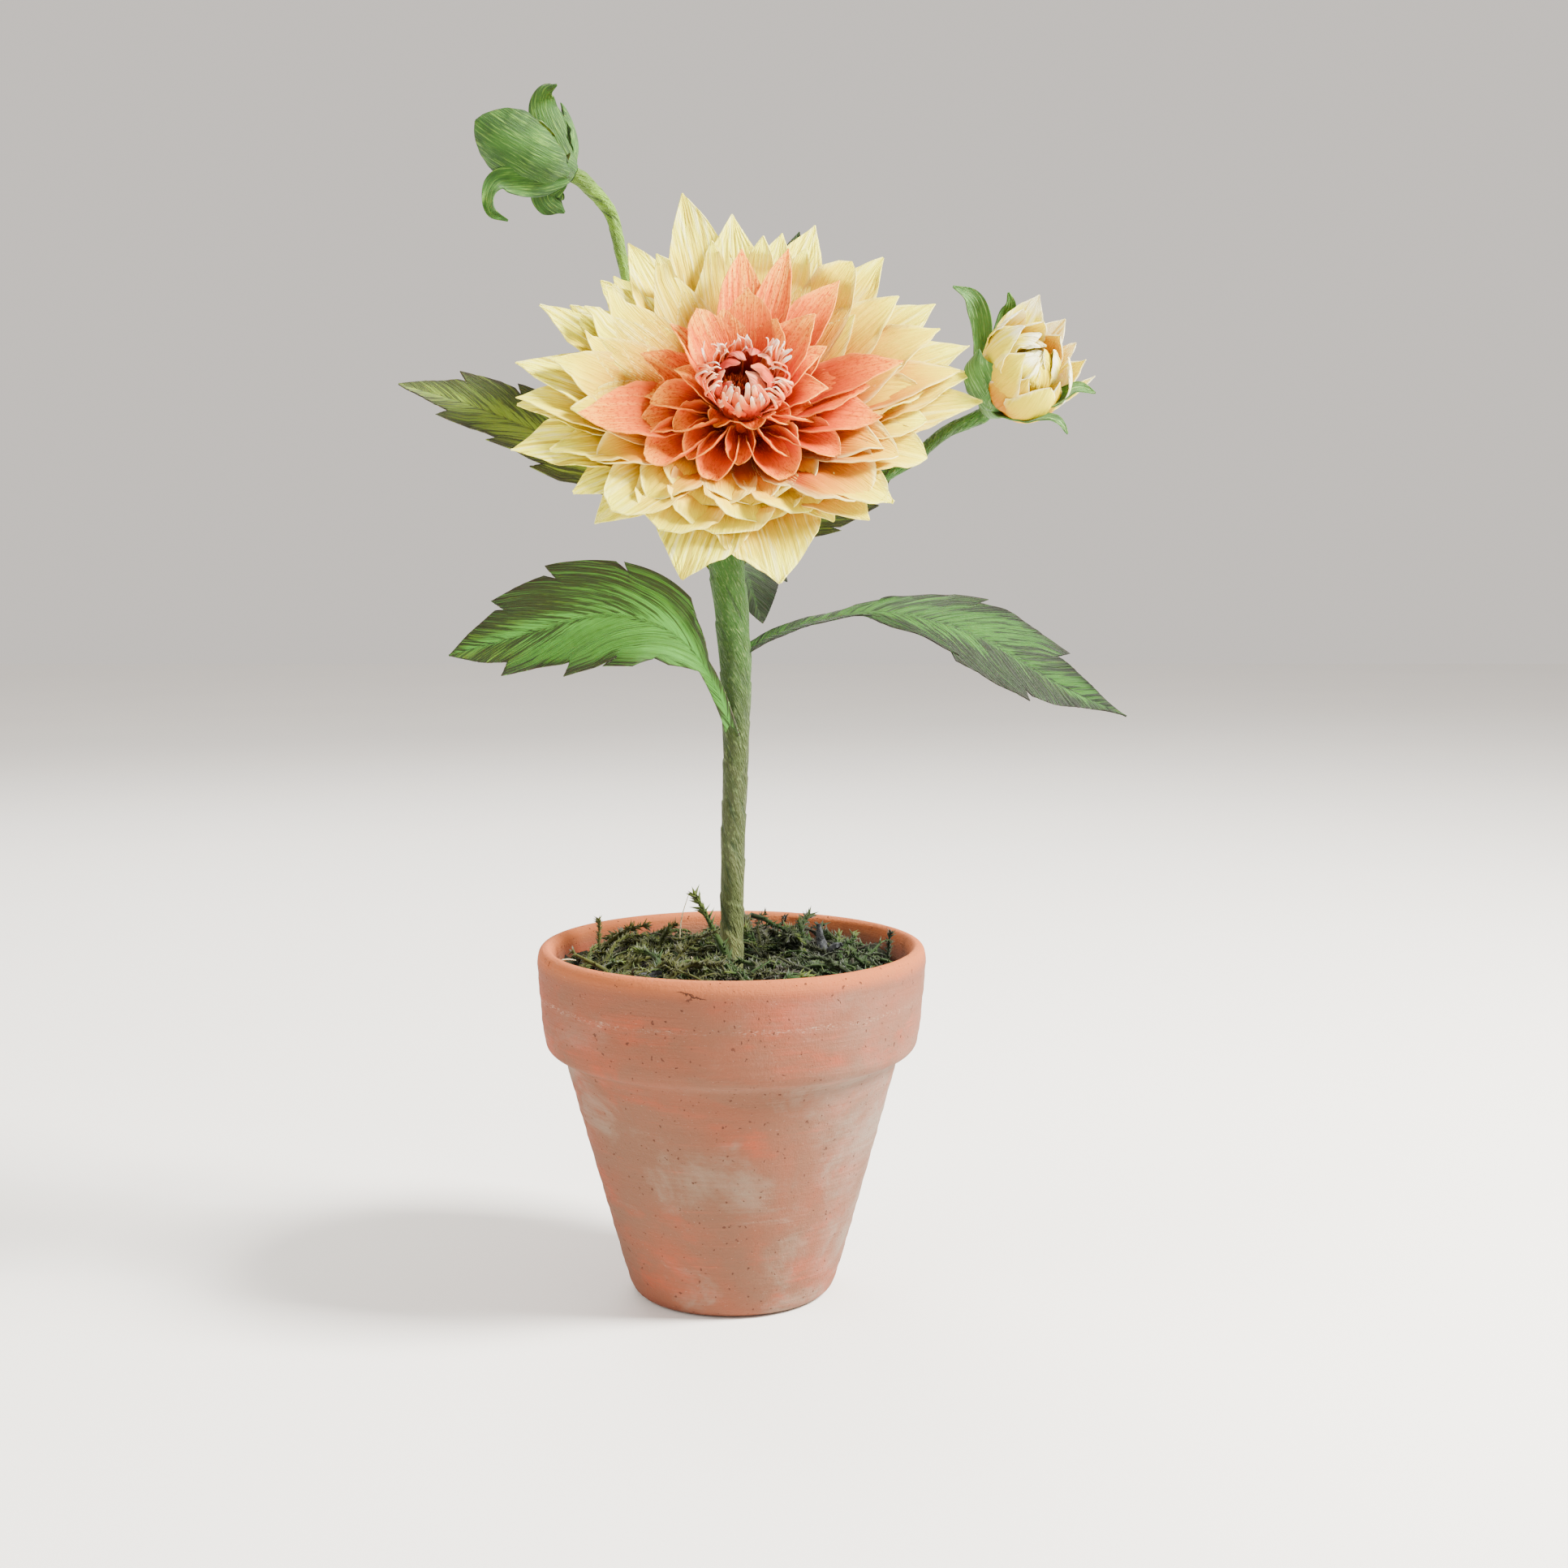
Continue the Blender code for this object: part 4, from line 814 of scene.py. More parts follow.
def build_petals():
    """Yellow petals kept under the face between the two colours, and coral petals above it and
    outside the funnel."""
    grid, place, grain = petal_sheets(layer_table(YELLOW_LAYERS, 0), 30, 27, 3, 2.4, 0.16)
    counts = [len(layer) for layer in YELLOW_LAYERS]
    # Painted shade: the inner layers of yellow petals are deepened, the outer ones made paler.
    place[..., 2] += np.repeat(YELLOW_PALENESS, counts)[:, None, None]
    radius = np.hypot(grid[..., 0], grid[..., 1])
    under = np.minimum(grid[..., 2], split_height(grid) - CLEARANCE)
    grid[..., 2] = np.where(radius < TRIM_RADIUS, under, grid[..., 2])
    paper = petal_paper("yellow_crepe")
    outer = sum(counts[:2])
    for name, part in (("outer", slice(0, outer)), ("inner", slice(outer, None))):
        sheet = [values[part] for values in (grid, place, grain)]
        name = f"yellow_petals_{name}"
        sheets_piece(name, sheet, BLOOM_FRAME, PETAL_THICK, paper, YELLOW_NODE)
    sheet = petal_sheets(layer_table(CORAL_LAYERS, len(YELLOW_LAYERS)), 28, 27, 5, 1.7, 0.11)
    grid = sheet[0]
    radius = np.hypot(grid[..., 0], grid[..., 1])
    grid[..., 2] = np.maximum(grid[..., 2], split_height(grid) + CLEARANCE)
    above = np.maximum(grid[..., 2] - CENTRE_HEIGHT + 2, 0)
    least = np.where(above > 0, CENTRE_RADIUS + CLEARANCE + CENTRE_SLOPE * above, 0)
    grid[..., :2] *= np.maximum(1, least / (radius + 1e-6))[..., None]
    paper = petal_paper("coral_crepe")
    sheets_piece("coral_petals", sheet, BLOOM_FRAME, PETAL_THICK, paper, CORAL_NODE)


# Broad petals that close over the heart: points with half widths in the bloom's own frame, and
# the way that the outer face looks. Pink ones close from the right, rose ones from the rear.
PINK_PETALS = (
    (((6, -9, 31, 2.4), (8, -6, 38, 4.4), (5, -2.5, 43, 4), (0.6, 0, 44.5, 0.3)), (0.7, -0.4, 0.6)),
    (((10, -4, 31, 2.4), (11, -1.5, 40, 4.4), (7.5, 1, 45, 4), (2.4, 1, 46, 0.4)), (0.8, 0, 0.6)),
    (((9, 3, 32, 2), (11, 5, 42, 3.2), (8.5, 6, 46.5, 2.8), (5, 5, 47.5, 0.3)), (0.7, 0.4, 0.6)),
    (((-9, -3, 31, 2), (-10.5, -3, 38, 3), (-9.5, -1, 42.5, 2.4), (-7, 0.5, 44.5, 0.2)), (-0.9, -0.3, 0.4)),
)
ROSE_PETALS = (
    (((-7, 3, 32, 2.4), (-8.5, 5, 41, 4.2), (-5.5, 4.5, 45.5, 3.6), (-1.5, 2.5, 46, 0.4)), (-0.6, 0.4, 0.7)),
    (((-4, 8, 32, 2.4), (-4, 10, 42, 4), (-2, 7.5, 46.5, 3.4), (0.5, 3.5, 46.5, 0.4)), (-0.2, 0.7, 0.7)),
    (((3, 9, 32, 2.4), (4, 11, 43, 3.6), (3.6, 8.5, 47, 3), (2.6, 5, 47.5, 0.4)), (0.2, 0.7, 0.7)),
    (((-6, -4, 33, 1.8), (-7.5, -4.5, 38, 2.6), (-6.5, -3.5, 41, 2), (-4.5, -2.8, 42, 0.3)),
     (-0.8, -0.4, 0.5)),
)

# Bunches of narrow quills round them: first and last azimuth, how many, the radius half way up,
# near the top and at the tip, the tip's height, half width, and how far the end curls down.
QUILL_BUNCHES = (
    (155, 215, 12, 14.5, 16, 12.5, 44.5, 0.85, 1.8),
    (-55, 8, 14, 14.5, 17, 13, 45, 0.85, 2.2),
    (5, 52, 9, 12.5, 14.5, 17, 48.5, 0.95, 0),
    (205, 310, 15, 11.4, 11.6, 10, 40.5, 1.35, 0.3),
    (225, 300, 7, 9.8, 9.4, 7, 42.5, 1.5, 0),
    (50, 155, 12, 11.5, 12, 11, 48, 1.5, -0.4),
    (100, 165, 6, 13.5, 15, 15.5, 45.5, 0.9, 0),
)
HEART_SPOT = (-2.4, -0.8)
FRINGE_COUNT, FRINGE_STEP = 150, 137.5
QUILL_SWAY = np.array((0, 0.2, 0.7, 1, 1.15))
QUILL_SPREAD = np.array((0, 0.5, 1, 1.2, 1.3))


def centre_piece(name, sheet, paper, thickness):
    sheets_piece(name, sheet, BLOOM_FRAME, thickness, petal_paper(paper), CENTRE_NODE)


def build_centre():
    """Bunches of curled quills round a few broad petals, which half close over a fringed heart."""
    rng = np.random.default_rng(7)
    for name, table, seed in (("pink", PINK_PETALS, 18), ("rose", ROSE_PETALS, 19)):
        rows = [(points, (face, face), -52) for points, face in table]
        sheet = ribbons(rows, 24, 15, seed, 0.5, 0.04)
        centre_piece(f"{name}_petals", sheet, f"{name}_crepe", QUILL_THICK)
    rows = []
    for first, last, count, middle, upper, end, height, half, curl in QUILL_BUNCHES:
        for azimuth in np.linspace(first, last, count):
            swing = rng.uniform(-24, 24)
            turn = np.radians(azimuth + rng.uniform(-4, 4) + swing * QUILL_SWAY)
            radii = np.array((9.6, middle, upper, end, end - curl))
            radii = radii + rng.uniform(-1.8, 1.8) * QUILL_SPREAD
            top = height + rng.uniform(-3.2, 2.6)
            heights = (30.5, 0.5 * (31 + top), top - 2.6, top, top + 0.6 - 0.9 * curl)
            wide = half * rng.uniform(0.75, 1.2)
            halves = (0.8 * wide, wide, 0.85 * wide, 0.5 * wide, 0.15)
            points = np.stack([radii * np.cos(turn), radii * np.sin(turn), heights, halves], 1)
            out = (math.cos(turn[2]), math.sin(turn[2]))
            faces = ((*out, 0.2), (*out, 0.5), (0.6 * out[0], 0.6 * out[1], 0.9))
            rows.append((points, faces, -44))
    centre_piece("quills", ribbons(rows, 20, 6, 17, 0.15, 0), "quill_crepe", QUILL_THICK)
    rows = []
    for index in range(FRINGE_COUNT):
        spread = math.sqrt((index + 0.5) / FRINGE_COUNT)
        tip_h = rng.uniform(39, 42.5) - 1.5 * spread
        width = rng.uniform(0.8, 1.3)
        root = (0.4 + 4.2 * spread, 33.5)
        tip = (0.5 + 4.4 * spread, tip_h)
        shape = (0.5, 0.6, 0.8, rng.uniform(-0.8, 0.8))
        rows.append((FRINGE_STEP * index, *root, *tip, width, -0.4, 50, *shape))
    sheet = petal_sheets(rows, 7, 4, 23, 0.2, 0)
    sheet[0][..., :2] += HEART_SPOT
    centre_piece("heart_fringe", sheet, "heart_crepe", PETAL_THICK)


def build_core():
    """The solid core that the petals are glued to, seen only deep between them."""
    profile = ((3, -3.6), (12.5, -3.4), (14.5, 2), (11.5, 13), (9.5, 17), (8.5, 28), (7.5, 31),
               (5.5, 36), (2, 37.5))
    lathe_piece("bloom_core", profile, 32, BLOOM_FRAME, petal_paper("core_crepe"), [])


# Green parts

LEFT_BUD_FRAME = frame_of((-66, 30.5, 438.8), (-0.84, -0.30, 0.45))
RIGHT_BUD_FRAME = frame_of((101.3, 7, 347.5), (0.54, -0.58, 0.61))
LEFT_BUD_OUTLINE = ((0, 7), (4, 10), (14, 12.5), (26, 10.5), (38, 5))
RIGHT_BUD_OUTLINE = ((0, 7.5), (4, 13), (14, 18.5), (26, 18), (40, 15))

# Sepals that follow the bud's own outline: azimuth, tip radius and height, width, bulge, half
# angle of the cup, kind, tip bend.
LEFT_BUD_SEPALS = (
    (-25, 8, 38.5, 28, -7, 45, "s", -1),
    (150, 11, 25, 20, -5, 42, "s", 0),
)
RIGHT_BUD_SEPALS = ((185, 17, 14, 15, -4, 42, "p", 0),)

# Sepals that stand away from the bud: points with half widths, the ways that the face looks,
# and the half angle of the arc.
LEFT_BUD_STRIPS = (
    (
        ((-62.6, 31, 438.6, 3), (-65.7, 33, 446, 5.6), (-70.1, 34, 454.5, 6.8),
         (-73.3, 34, 462, 6.4), (-72.2, 33, 468.1, 3.6), (-67.7, 31, 470.4, 0.2)),
        ((0.3, -0.9, 0.1), (0.2, -0.95, 0.1), (0, -0.95, 0.3)), -38,
    ),
    (
        ((-61.8, 36, 439, 3), (-60.6, 40, 447.2, 6.2), (-62, 42, 455.3, 6.4),
         (-64.5, 41, 461.6, 4.2), (-66.9, 38, 464.8, 0.2)),
        ((-0.95, -0.2, 0.1), (-0.95, -0.15, 0.1), (-0.95, -0.2, -0.2)), 58,
    ),
    (
        ((-64, 27, 436.5, 4), (-73.2, 23, 433.4, 6.6), (-81.7, 20, 433.2, 6.4),
         (-89.4, 17.5, 431.6, 4.6), (-92.6, 15.5, 425.8, 2.8), (-91.4, 15, 419.7, 2.1),
         (-85.4, 15, 416.6, 0.2)),
        ((-0.2, -0.8, -0.4), (-0.2, -0.85, -0.3), (-0.4, -0.85, 0.2), (-0.5, -0.8, 0.3)), 34,
    ),
    (
        ((-65.8, 31, 434.6, 2.6), (-71.5, 32, 430.2, 6.6), (-71, 33, 426.2, 5.8),
         (-65.4, 33, 422.2, 0.2)),
        ((0.1, -0.95, -0.2), (0.1, -0.95, 0.2)), -30,
    ),
)
RIGHT_BUD_STRIPS = (
    (
        ((101, 6, 349, 3.6), (97, 6, 359.8, 4), (96.4, 6, 370.6, 3.9),
         (95, 5, 379.7, 4.4), (91.4, 3, 386.6, 3.4), (84.3, 1, 390.4, 0.2)),
        ((0.1, -0.9, 0.3), (-0.1, -0.95, 0.2), (-0.3, -0.8, 0.5)), 32,
    ),
    (
        ((104, 12, 352, 3), (104.6, 17, 369.7, 4.4), (106.2, 18, 380, 3.6),
         (107.8, 16, 385, 2.2), (106.7, 14, 389.6, 0.2)),
        ((0.1, -0.95, 0.1), (0, -0.95, 0.2)), 34,
    ),
    (
        ((103.4, -3.5, 344.6, 3.4), (99, -9.5, 347.8, 7), (94.9, -12.8, 353.4, 8),
         (92, -13.6, 360, 5.6), (93.2, -12, 366, 0.2)),
        ((-0.3, -0.95, 0), (-0.45, -0.85, 0.1), (-0.5, -0.6, 0.5)), -34,
    ),
    (
        ((104.8, -1, 344.4, 3.6), (113.8, -3, 343.9, 5.2), (122.8, -5, 347.3, 5),
         (130.9, -6, 351.7, 3.6), (137.9, -6.5, 350.2, 0.2)),
        ((-0.2, -0.35, 0.9), (-0.3, -0.5, 0.8), (0, -0.7, 0.7)), 30,
    ),
    (
        ((100.5, 1, 344.6, 2.8), (105, -3.5, 341.6, 4.2), (111.2, -7.5, 340.2, 4.2),
         (117.9, -10, 340.9, 3.8), (123.6, -10.5, 339.2, 2.4), (127.2, -10, 334.8, 0.2)),
        ((0, -0.5, 0.85), (0.1, -0.5, 0.85), (0.4, -0.6, 0.6)), 30,
    ),
)

# Petals of the open bud: azimuth, root radius and height, tip radius and height, width, bulge,
# half angle of the cup, kind, tip bend.
RIGHT_BUD_PETALS = (
    (60, 5, 3, 29, 32.5, 21, -5, 32, "p", 1.5),
    (100, 5.5, 2, 16, 33, 24, -9, 42, "s", 1),
    (38, 5, 3, 25, 33, 17, -4, 34, "p", -1),
    (12, 5, 3, 18.5, 32, 8, -7, 30, "s", 1),
    (-5, 5.5, 2, 25, 28, 16, -7.5, 38, "p", 1),
    (-19, 5.5, 2, 27, 27.5, 7, -8, 32, "p", 1),
    (-38, 5.5, 2, 10.5, 35, 21, -13.5, 48, "p", -2),
    (-72, 5.5, 2, 13, 26.5, 19, -11.5, 50, "p", 0),
    (258, 5.5, 2, 14, 25, 27, -11.5, 54, "s", 1.5),
    (222, 5, 3, 12.5, 23.5, 24, -10.5, 50, "p", 1),
    (190, 5.5, 2, 11.5, 29.5, 24, -10.5, 50, "p", 0),
    (150, 5.5, 2, 12, 34.5, 25, -10, 48, "p", 0),
    (75, 4.5, 5, 10, 36, 18, -8, 52, "s", -1),
    (20, 4.5, 5, 9, 36.5, 17, -9, 54, "p", -2),
    (135, 4, 6, 6, 36, 18, -9, 54, "s", -2),
    (205, 4, 6, 6, 31, 19, -9.5, 54, "s", -3),
    (275, 4, 6, 5.5, 30, 18, -9, 56, "s", -3),
    (335, 4, 6, 5.5, 34, 17, -9, 56, "s", -3),
    (95, 3, 9, 2.5, 34, 14, -6.5, 60, "s", -3),
    (215, 3, 9, 2, 32, 14, -7, 60, "s", -3),
    (320, 3, 9, 2, 33, 13, -6.5, 60, "s", -3),
)

# How much paler or deeper each of them is, as painted light: paler where light falls on the outer
# petals, deeper as painted shade between the inner ones; and the first of those crumpled into a ball.
RIGHT_BUD_PAINTED_LIGHT = (
    0, 0.05, 0.6, 0.3, -0.2, 0.4, 1.1, -0.5, 0, -0.8, -0.35, -0.1, -0.9, -0.9,
    -0.2, 0.15, 0, 0.3, 0.1, 0.3, 0.1,
)
BALL_FROM = 14


def sepal_table(rows, root):
    return [
        (azimuth, *root, tip_r, tip_h, width, bulge, curl, *PETAL_KINDS[kind], flick)
        for azimuth, tip_r, tip_h, width, bulge, curl, kind, flick in rows
    ]


def reaches(grid, outline):
    """How far the points are from the flower's axis, and the outline's radius at their heights."""
    heights, radii = np.array(outline).T
    radius = np.hypot(grid[..., 0], grid[..., 1]) + 1e-6
    return radius, np.interp(grid[..., 2], heights, radii)


def build_calyx(sepal):
    rows = [(22.5 + 45 * k, 34, -10, 15, 0.5, 30, "p", 2) for k in range(8)]
    sheet = petal_sheets(sepal_table(rows, (8, -7.5)), 24, 15, 31, 1.2, 0.1)
    sheets_piece("calyx_sepals", sheet, BLOOM_FRAME, LEAF_THICK, sepal, "bloom_calyx")
    profile = ((4.2, -11.2), (6.6, -11), (8.2, -9), (10.4, -6), (12, -4), (3, -3.7))
    lathe_piece("calyx_cup", profile, 32, BLOOM_FRAME, sepal, ["bloom_calyx"])


def build_bud(side, flower, outline, table, strips, seed, sepal):
    """The green of a bud: sepals held just outside its outline, sepals that stand away, a cup."""
    node, foot = f"{side}_bud_sepals", outline[0][1]
    sheet = petal_sheets(sepal_table(table, (0.8 * foot, -2.5)), 40, 25, seed, 1.6, 0.09, uneven=0.4)
    grid = sheet[0]
    radius, edge = reaches(grid, outline)
    grow = np.where(grid[..., 2] > 0.5, np.maximum(1, (edge + 0.6) / radius), 1)
    grid[..., :2] *= grow[..., None]
    sheets_piece(f"{node}_paper", sheet, flower, LEAF_THICK, sepal, node)
    sheet = ribbons(strips, 44, 23, seed + 1, 0.5, 0.07)
    sheets_piece(f"{node}_open", sheet, POT_FRAME, LEAF_THICK, sepal, node)
    profile = ((2.2, -5.1), (0.55 * foot, -5), (0.8 * foot, -2.6), (0.95 * foot, 0), (1, 0.3))
    lathe_piece(f"{side}_bud_cup", profile, 28, flower, sepal, [node])


def build_buds(left_green, right_green):
    build_bud("left", LEFT_BUD_FRAME, LEFT_BUD_OUTLINE, LEFT_BUD_SEPALS, LEFT_BUD_STRIPS, 41, left_green)
    build_bud(
        "right", RIGHT_BUD_FRAME, RIGHT_BUD_OUTLINE, RIGHT_BUD_SEPALS, RIGHT_BUD_STRIPS, 43, right_green
    )
    rows = [(72 * k, 3, 3, 3.5, 34, 17, -8, 60, 0.56, 0.85, 0.8, 0) for k in range(5)]
    left = petal_sheets(rows, 28, 17, 9, 0.6, 0.06, uneven=0.3)
    radius, edge = reaches(left[0], LEFT_BUD_OUTLINE)
    left[0][..., :2] *= np.minimum(1, (edge - 0.4) / radius)[..., None]
    rows = [(*row[:8], *PETAL_KINDS[row[8]], row[9]) for row in RIGHT_BUD_PETALS]
    outer = petal_sheets(rows[:BALL_FROM], 30, 21, 13, 1.6, 0.14)
    ball = petal_sheets(rows[BALL_FROM:], 30, 21, 14, 2.6, 0.45, uneven=1.4)
    right = [np.concatenate(pair) for pair in zip(outer, ball)]
    # Painted light and painted shade on the open bud's petals.
    right[1][..., 2] += np.array(RIGHT_BUD_PAINTED_LIGHT)[:, None, None]
    cream = petal_paper("bud_crepe")
    for side, sheet, flower in (("left", left, LEFT_BUD_FRAME), ("right", right, RIGHT_BUD_FRAME)):
        node = f"{side}_bud_petals"
        sheets_piece(f"{node}_paper", sheet, flower, PETAL_THICK, cream, node)


# Stems: points of each line, with the radius there.
MAIN_STEM = (
    (0, 0, 62, 4.4), (0, 0, 98, 4.4), (0, 0, 134, 4.5), (0.4, 0, 171, 4.7),
    (1.5, 0, 206, 4.9), (1.9, 0, 232, 5.6), (1.4, 0, 253, 6.3), (-0.3, 0.3, 272, 6.7),
    (-2, 1.8, 289, 6.8), (-1.6, 4.6, 299, 6.6), (-0.4, 5.4, 307.5, 6.2),
)
LEFT_STEM = (
    (-2, 3, 286, 2.2), (-14, 24, 314, 2.2), (-32, 43, 362, 2.2),
    (-43.5, 45, 404, 2.3), (-46.9, 42.6, 419.5, 2.5), (-50.6, 40, 427, 2.8),
)
RIGHT_STEM = (
    (-1, 2, 286, 2.4), (14, 12, 298, 2.4), (38, 19, 309, 2.4),
    (67.5, 18, 324.3, 2.4), (83, 14, 336.4, 2.5),
)


def stem_line(points, count, flower, drop, radius):
    """A stem's curve, whose last stretch lies on a flower's axis and ends under its cup."""
    point, axes = flower
    start, end = (point - axes[2] * (drop + back) for back in (0.9 * radius, 0))
    curve = smooth_line((*points, (*start, radius)), count - 1)
    return np.vstack([curve, (*end, radius)])


def wrapped(line, stations, sides, pitch, step, seed):
    """A stem in its paper strip: the radius grows across each turn of the strip and drops by step
    at its edge, which winds up the stem once every pitch, and low lumps run along it."""
    rng = np.random.default_rng(seed)
    run = run_of(line[:, :3])
    gone = np.linspace(0, run[-1], stations)
    fine = np.stack([np.interp(gone, run, column) for column in line.T], 1)
    gone = gone[:, None]
    angle = round_angles(sides)[None, :]
    wobble = 0.18 * np.sin(gone / 7.3 + 1) + 0.12 * np.sin(gone / 2.9)
    lap = ((gone + wobble * pitch) / pitch + angle / TURN) % 1
    strip = step * np.clip(lap / 0.94, 0, 1) * np.where(lap > 0.94, (1 - lap) / 0.06, 1)
    lumps = 0.09 * np.sin(3 * angle + gone / 5) + 0.07 * np.sin(7 * angle - gone / 3.1)
    lumps = lumps + rng.normal(0, 0.02, (stations, sides))
    reach = fine[:, 3:] + strip - 0.5 * step + lumps
    grid, faces, ends = tube(fine[:, :3], reach, sides)
    grain = three(fine[:, 3:] * angle * MM, gone * MM, lap).reshape(-1, 3)
    return grid.reshape(-1, 3), faces, ends, {"grain": grain}


def build_stem():
    main = stem_line(MAIN_STEM, 60, BLOOM_FRAME, 11.35, 5.6)
    left = stem_line(LEFT_STEM, 40, LEFT_BUD_FRAME, 5.35, 3.2)
    right = stem_line(RIGHT_STEM, 40, RIGHT_BUD_FRAME, 5.35, 3)
    parts = [
        wrapped(main, 380, 52, 17, 0.45, 51),
        wrapped(left, 240, 28, 9, 0.22, 52),
        wrapped(right, 240, 28, 9, 0.22, 53),
    ]
    points, faces, marks = joined(parts)
    add_mesh("stem_wrapped", points, faces, stem_paper("stem_crepe"), ["stem"], marks)


# Leaves: midrib line, the way the upper face looks at the root and at the tip, half width, share
# of the line that is stalk, sets of teeth, how far the halves fold up in degrees, where the leaf
# is widest, how pointed its outline is, and how far the grain fans out.
LEAVES = {
    "leaf_left": (
        ((1, -3.5, 220), (-4, -8, 235), (-11, -12, 249), (-21, -15, 259.5),
         (-34, -18, 265.5), (-52, -22, 266.5), (-79, -27, 259.5), (-104.2, -30, 252.5)),
        (-0.45, -0.85, 0.3), (0.05, -0.86, 0.5), 22, 0.20, 4, 6, 0.93, 0.95, 2.6,
    ),
    "leaf_right": (
        ((3, 0, 251), (16, 0, 258.5), (34, 1, 264.5), (60, 2, 267.5),
         (94, 0, 258.5), (125, -3, 240.5), (151.6, -8, 228)),
        (-0.1, -0.5, 0.86), (0.25, -0.80, 0.54), 18, 0.2, 3, 8, 1.1, 1.35, 1.7,
    ),
    "leaf_upper_left": (
        ((-3, 1, 281), (-17, 9, 297), (-40, 13, 316), (-68, 12, 333),
         (-100, 6, 346.5), (-126.1, 0, 354)),
        (-0.2, -0.6, 0.8), (-0.1, -0.75, 0.66), 18, 0.28, 4, 8, 0.75, 0.85, 2,
    ),
    "leaf_upper_right": (
        ((1, 7, 284), (9, 15.5, 296), (18.5, 21.5, 302.5), (37.7, 28.5, 308.7),
         (53.8, 31.5, 315.8), (65.1, 32.5, 323.8)),
        (0.1, -0.85, 0.5), (0, -0.9, 0.42), 12, 0.2, 3, 8, 0.75, 0.85, 2,
    ),
    "leaf_back_low": (
        ((0, 3, 276), (1, 20, 285), (3, 38, 285), (7, 52, 276),
         (11.7, 61, 260.6)),
        (0, -0.3, 0.95), (0.1, 0.6, 0.8), 15, 0.25, 2, 8, 0.75, 0.85, 2,
    ),
    "leaf_back_high": (
        ((-1, 8, 300), (1, 24, 316), (5, 45, 345), (14, 57, 380),
         (26.6, 57, 418)),
        (0, -0.8, 0.6), (0, -0.95, 0.3), 16, 0.25, 3, 8, 0.75, 0.85, 2,
    ),
}
# The back leaves take the darker painted shade copy; the right leaf takes the copy toned to its light.
LEAF_PAPER_OF = {
    "leaf_left": "leaf_crepe", "leaf_right": "leaf_crepe_lit",
    "leaf_upper_left": "leaf_crepe_olive", "leaf_upper_right": "leaf_crepe_olive",
    "leaf_back_low": "leaf_crepe_painted_shade", "leaf_back_high": "leaf_crepe_painted_shade",
}
LEAF_STALK_HALF = 2.8

# Teeth: length from one knot of a tooth to the next, how far its tip is swept forward, width at
# its tip and at its notch, the shares of the blade where they begin and that they take up, and how
# far out from the midrib they begin.
TOOTH_STEP, TOOTH_REACH, TOOTH_OUT, NOTCH_IN = 4.2, 8.5, 1.06, 0.83
FIRST_TOOTH, TEETH_SHARE, TEETH_FROM = 0.13, 0.80, 0.55


